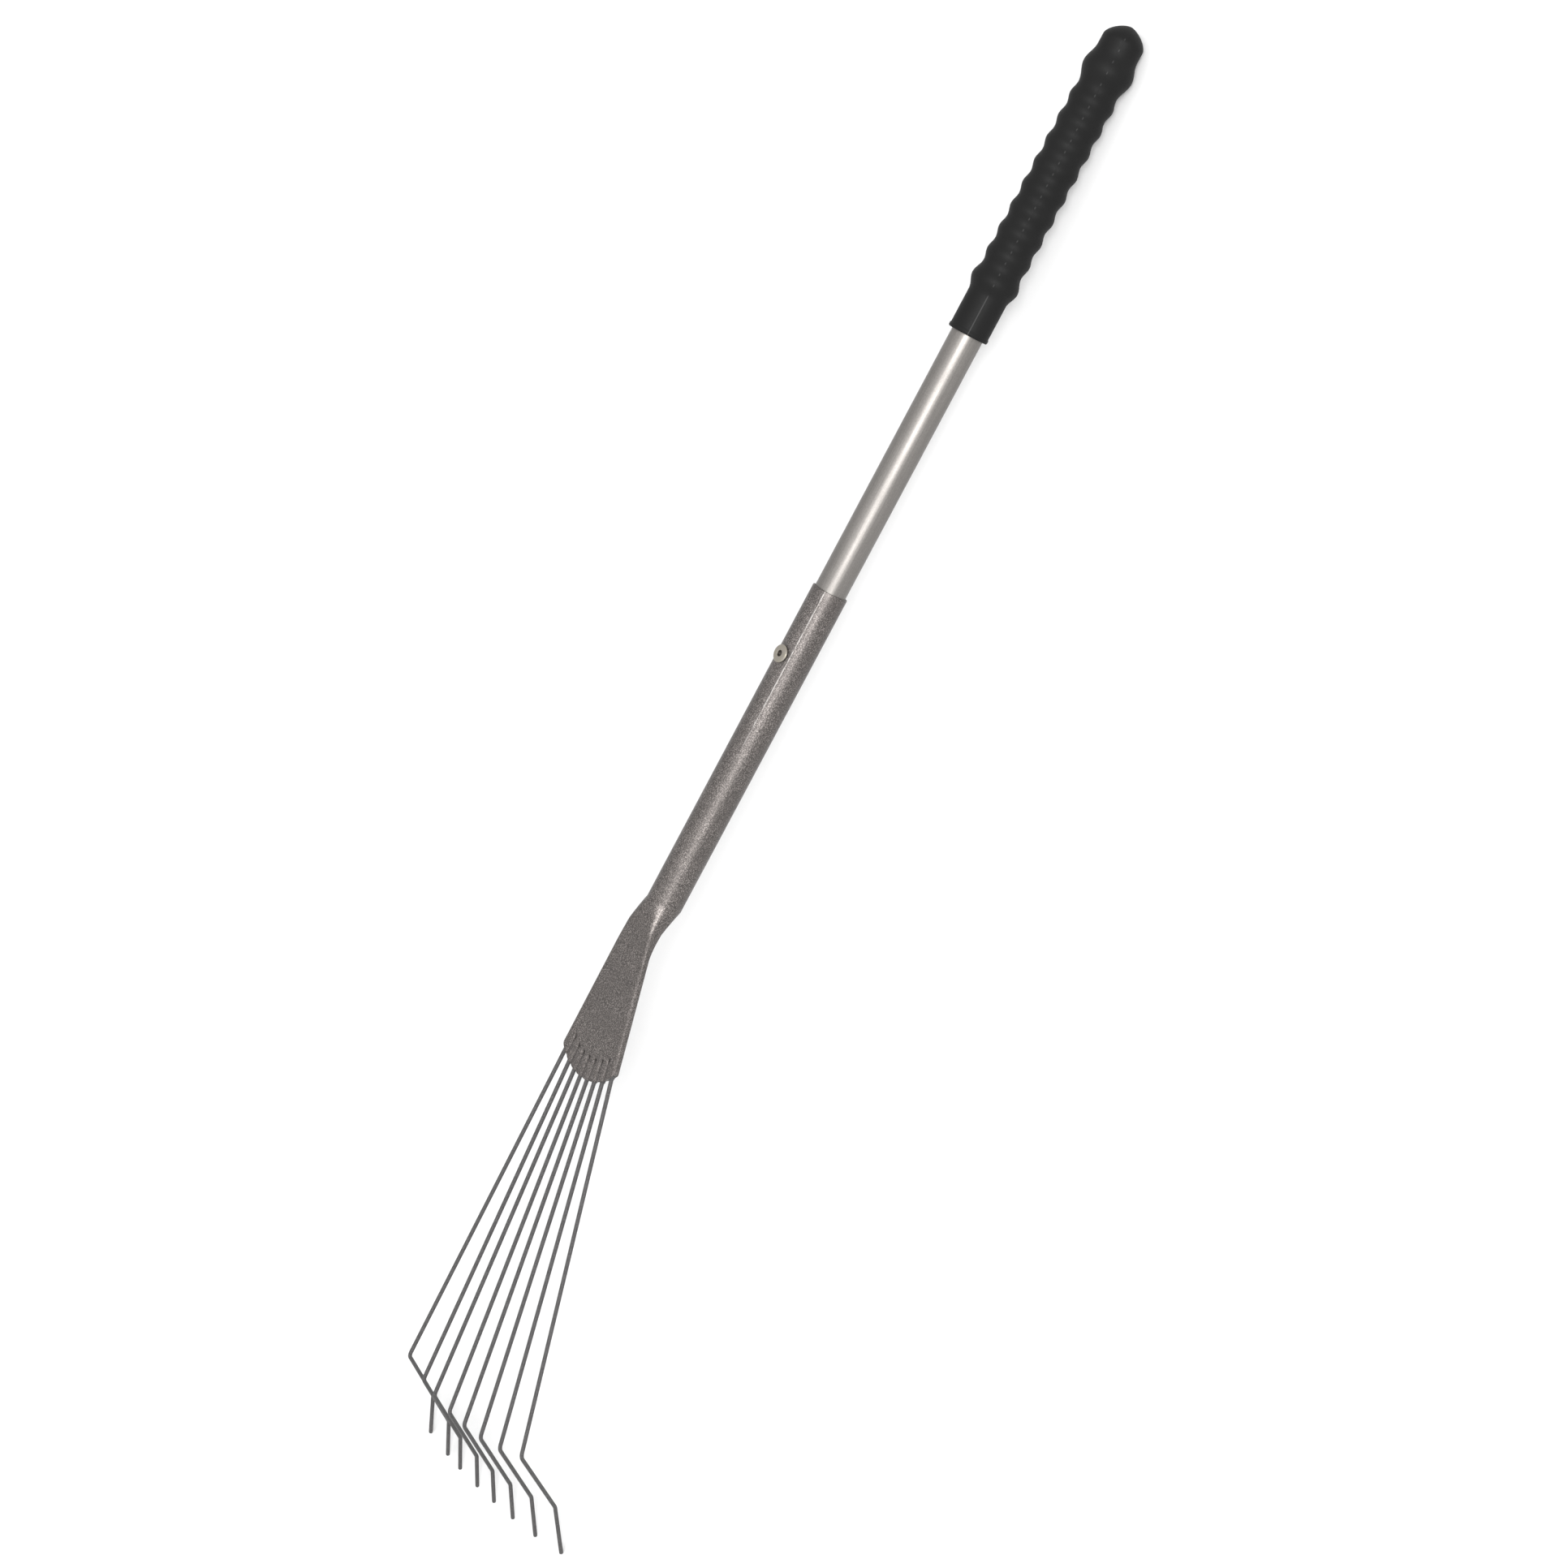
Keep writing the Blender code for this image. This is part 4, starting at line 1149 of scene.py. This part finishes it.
def set_camera(studio):
    """Stand the camera over the rake's right, level with the grip's end."""
    data = bpy.data.cameras.new("camera")
    data.lens = studio.lens
    data.sensor_width = SENSOR_WIDTH
    camera = bpy.data.objects.new("camera", data)
    bpy.context.scene.collection.objects.link(camera)
    right = Vector(CAMERA_RIGHT)
    up = Vector(CAMERA_UP)
    turn = Matrix((right, up, right.cross(up))).transposed().to_quaternion()
    camera.matrix_world = Matrix.LocRotScale(Vector(CAMERA_PLACE), turn, None)
    bpy.context.scene.camera = camera


class RAKE_OT_studio(bpy.types.Operator):
    """Lay the floor and set the lights and the camera"""
    bl_idname = "rake.studio"
    bl_label = "Floor, lights and camera"

    def execute(self, context):
        studio = context.scene.rake_studio
        lay_floor(studio)
        light_surroundings(studio)
        add_light("key_light", KEY_PLACE, KEY_TARGET, KEY_SIZE, studio.key_power)
        set_camera(studio)
        context.scene.view_settings.view_transform = "Standard"
        return {"FINISHED"}


# ---------------------------------------------------------------- sidebar

class RAKE_PT_build(bpy.types.Panel):
    """The buttons that build the rake"""
    bl_idname = "RAKE_PT_build"
    bl_label = "Leaf Rake"
    bl_space_type = "VIEW_3D"
    bl_region_type = "UI"
    bl_category = "Leaf Rake"

    def draw(self, context):
        for operator in OPERATORS:
            self.layout.operator(operator.bl_idname)


SETTINGS = {
    "rake_tubes": RakeTubeSettings,
    "rake_grip": RakeGripSettings,
    "rake_head": RakeHeadSettings,
    "rake_tines": RakeTineSettings,
    "rake_rivet": RakeRivetSettings,
    "rake_studio": RakeStudioSettings,
}
OPERATORS = (
    RAKE_OT_grip,
    RAKE_OT_upper_tube,
    RAKE_OT_lower_tube,
    RAKE_OT_rivet,
    RAKE_OT_tines,
    RAKE_OT_studio,
)


def register():
    for name, settings in SETTINGS.items():
        bpy.utils.register_class(settings)
        setattr(bpy.types.Scene, name, PointerProperty(type=settings))
    for item in OPERATORS + (RAKE_PT_build,):
        bpy.utils.register_class(item)


def unregister():
    for item in reversed(OPERATORS + (RAKE_PT_build,)):
        bpy.utils.unregister_class(item)
    for name, settings in reversed(SETTINGS.items()):
        delattr(bpy.types.Scene, name)
        bpy.utils.unregister_class(settings)


def main():
    register()
    bpy.ops.rake.grip()
    bpy.ops.rake.upper_tube()
    bpy.ops.rake.lower_tube()
    bpy.ops.rake.rivet()
    bpy.ops.rake.tines()
    bpy.ops.rake.studio()


if __name__ == "__main__":
    main()
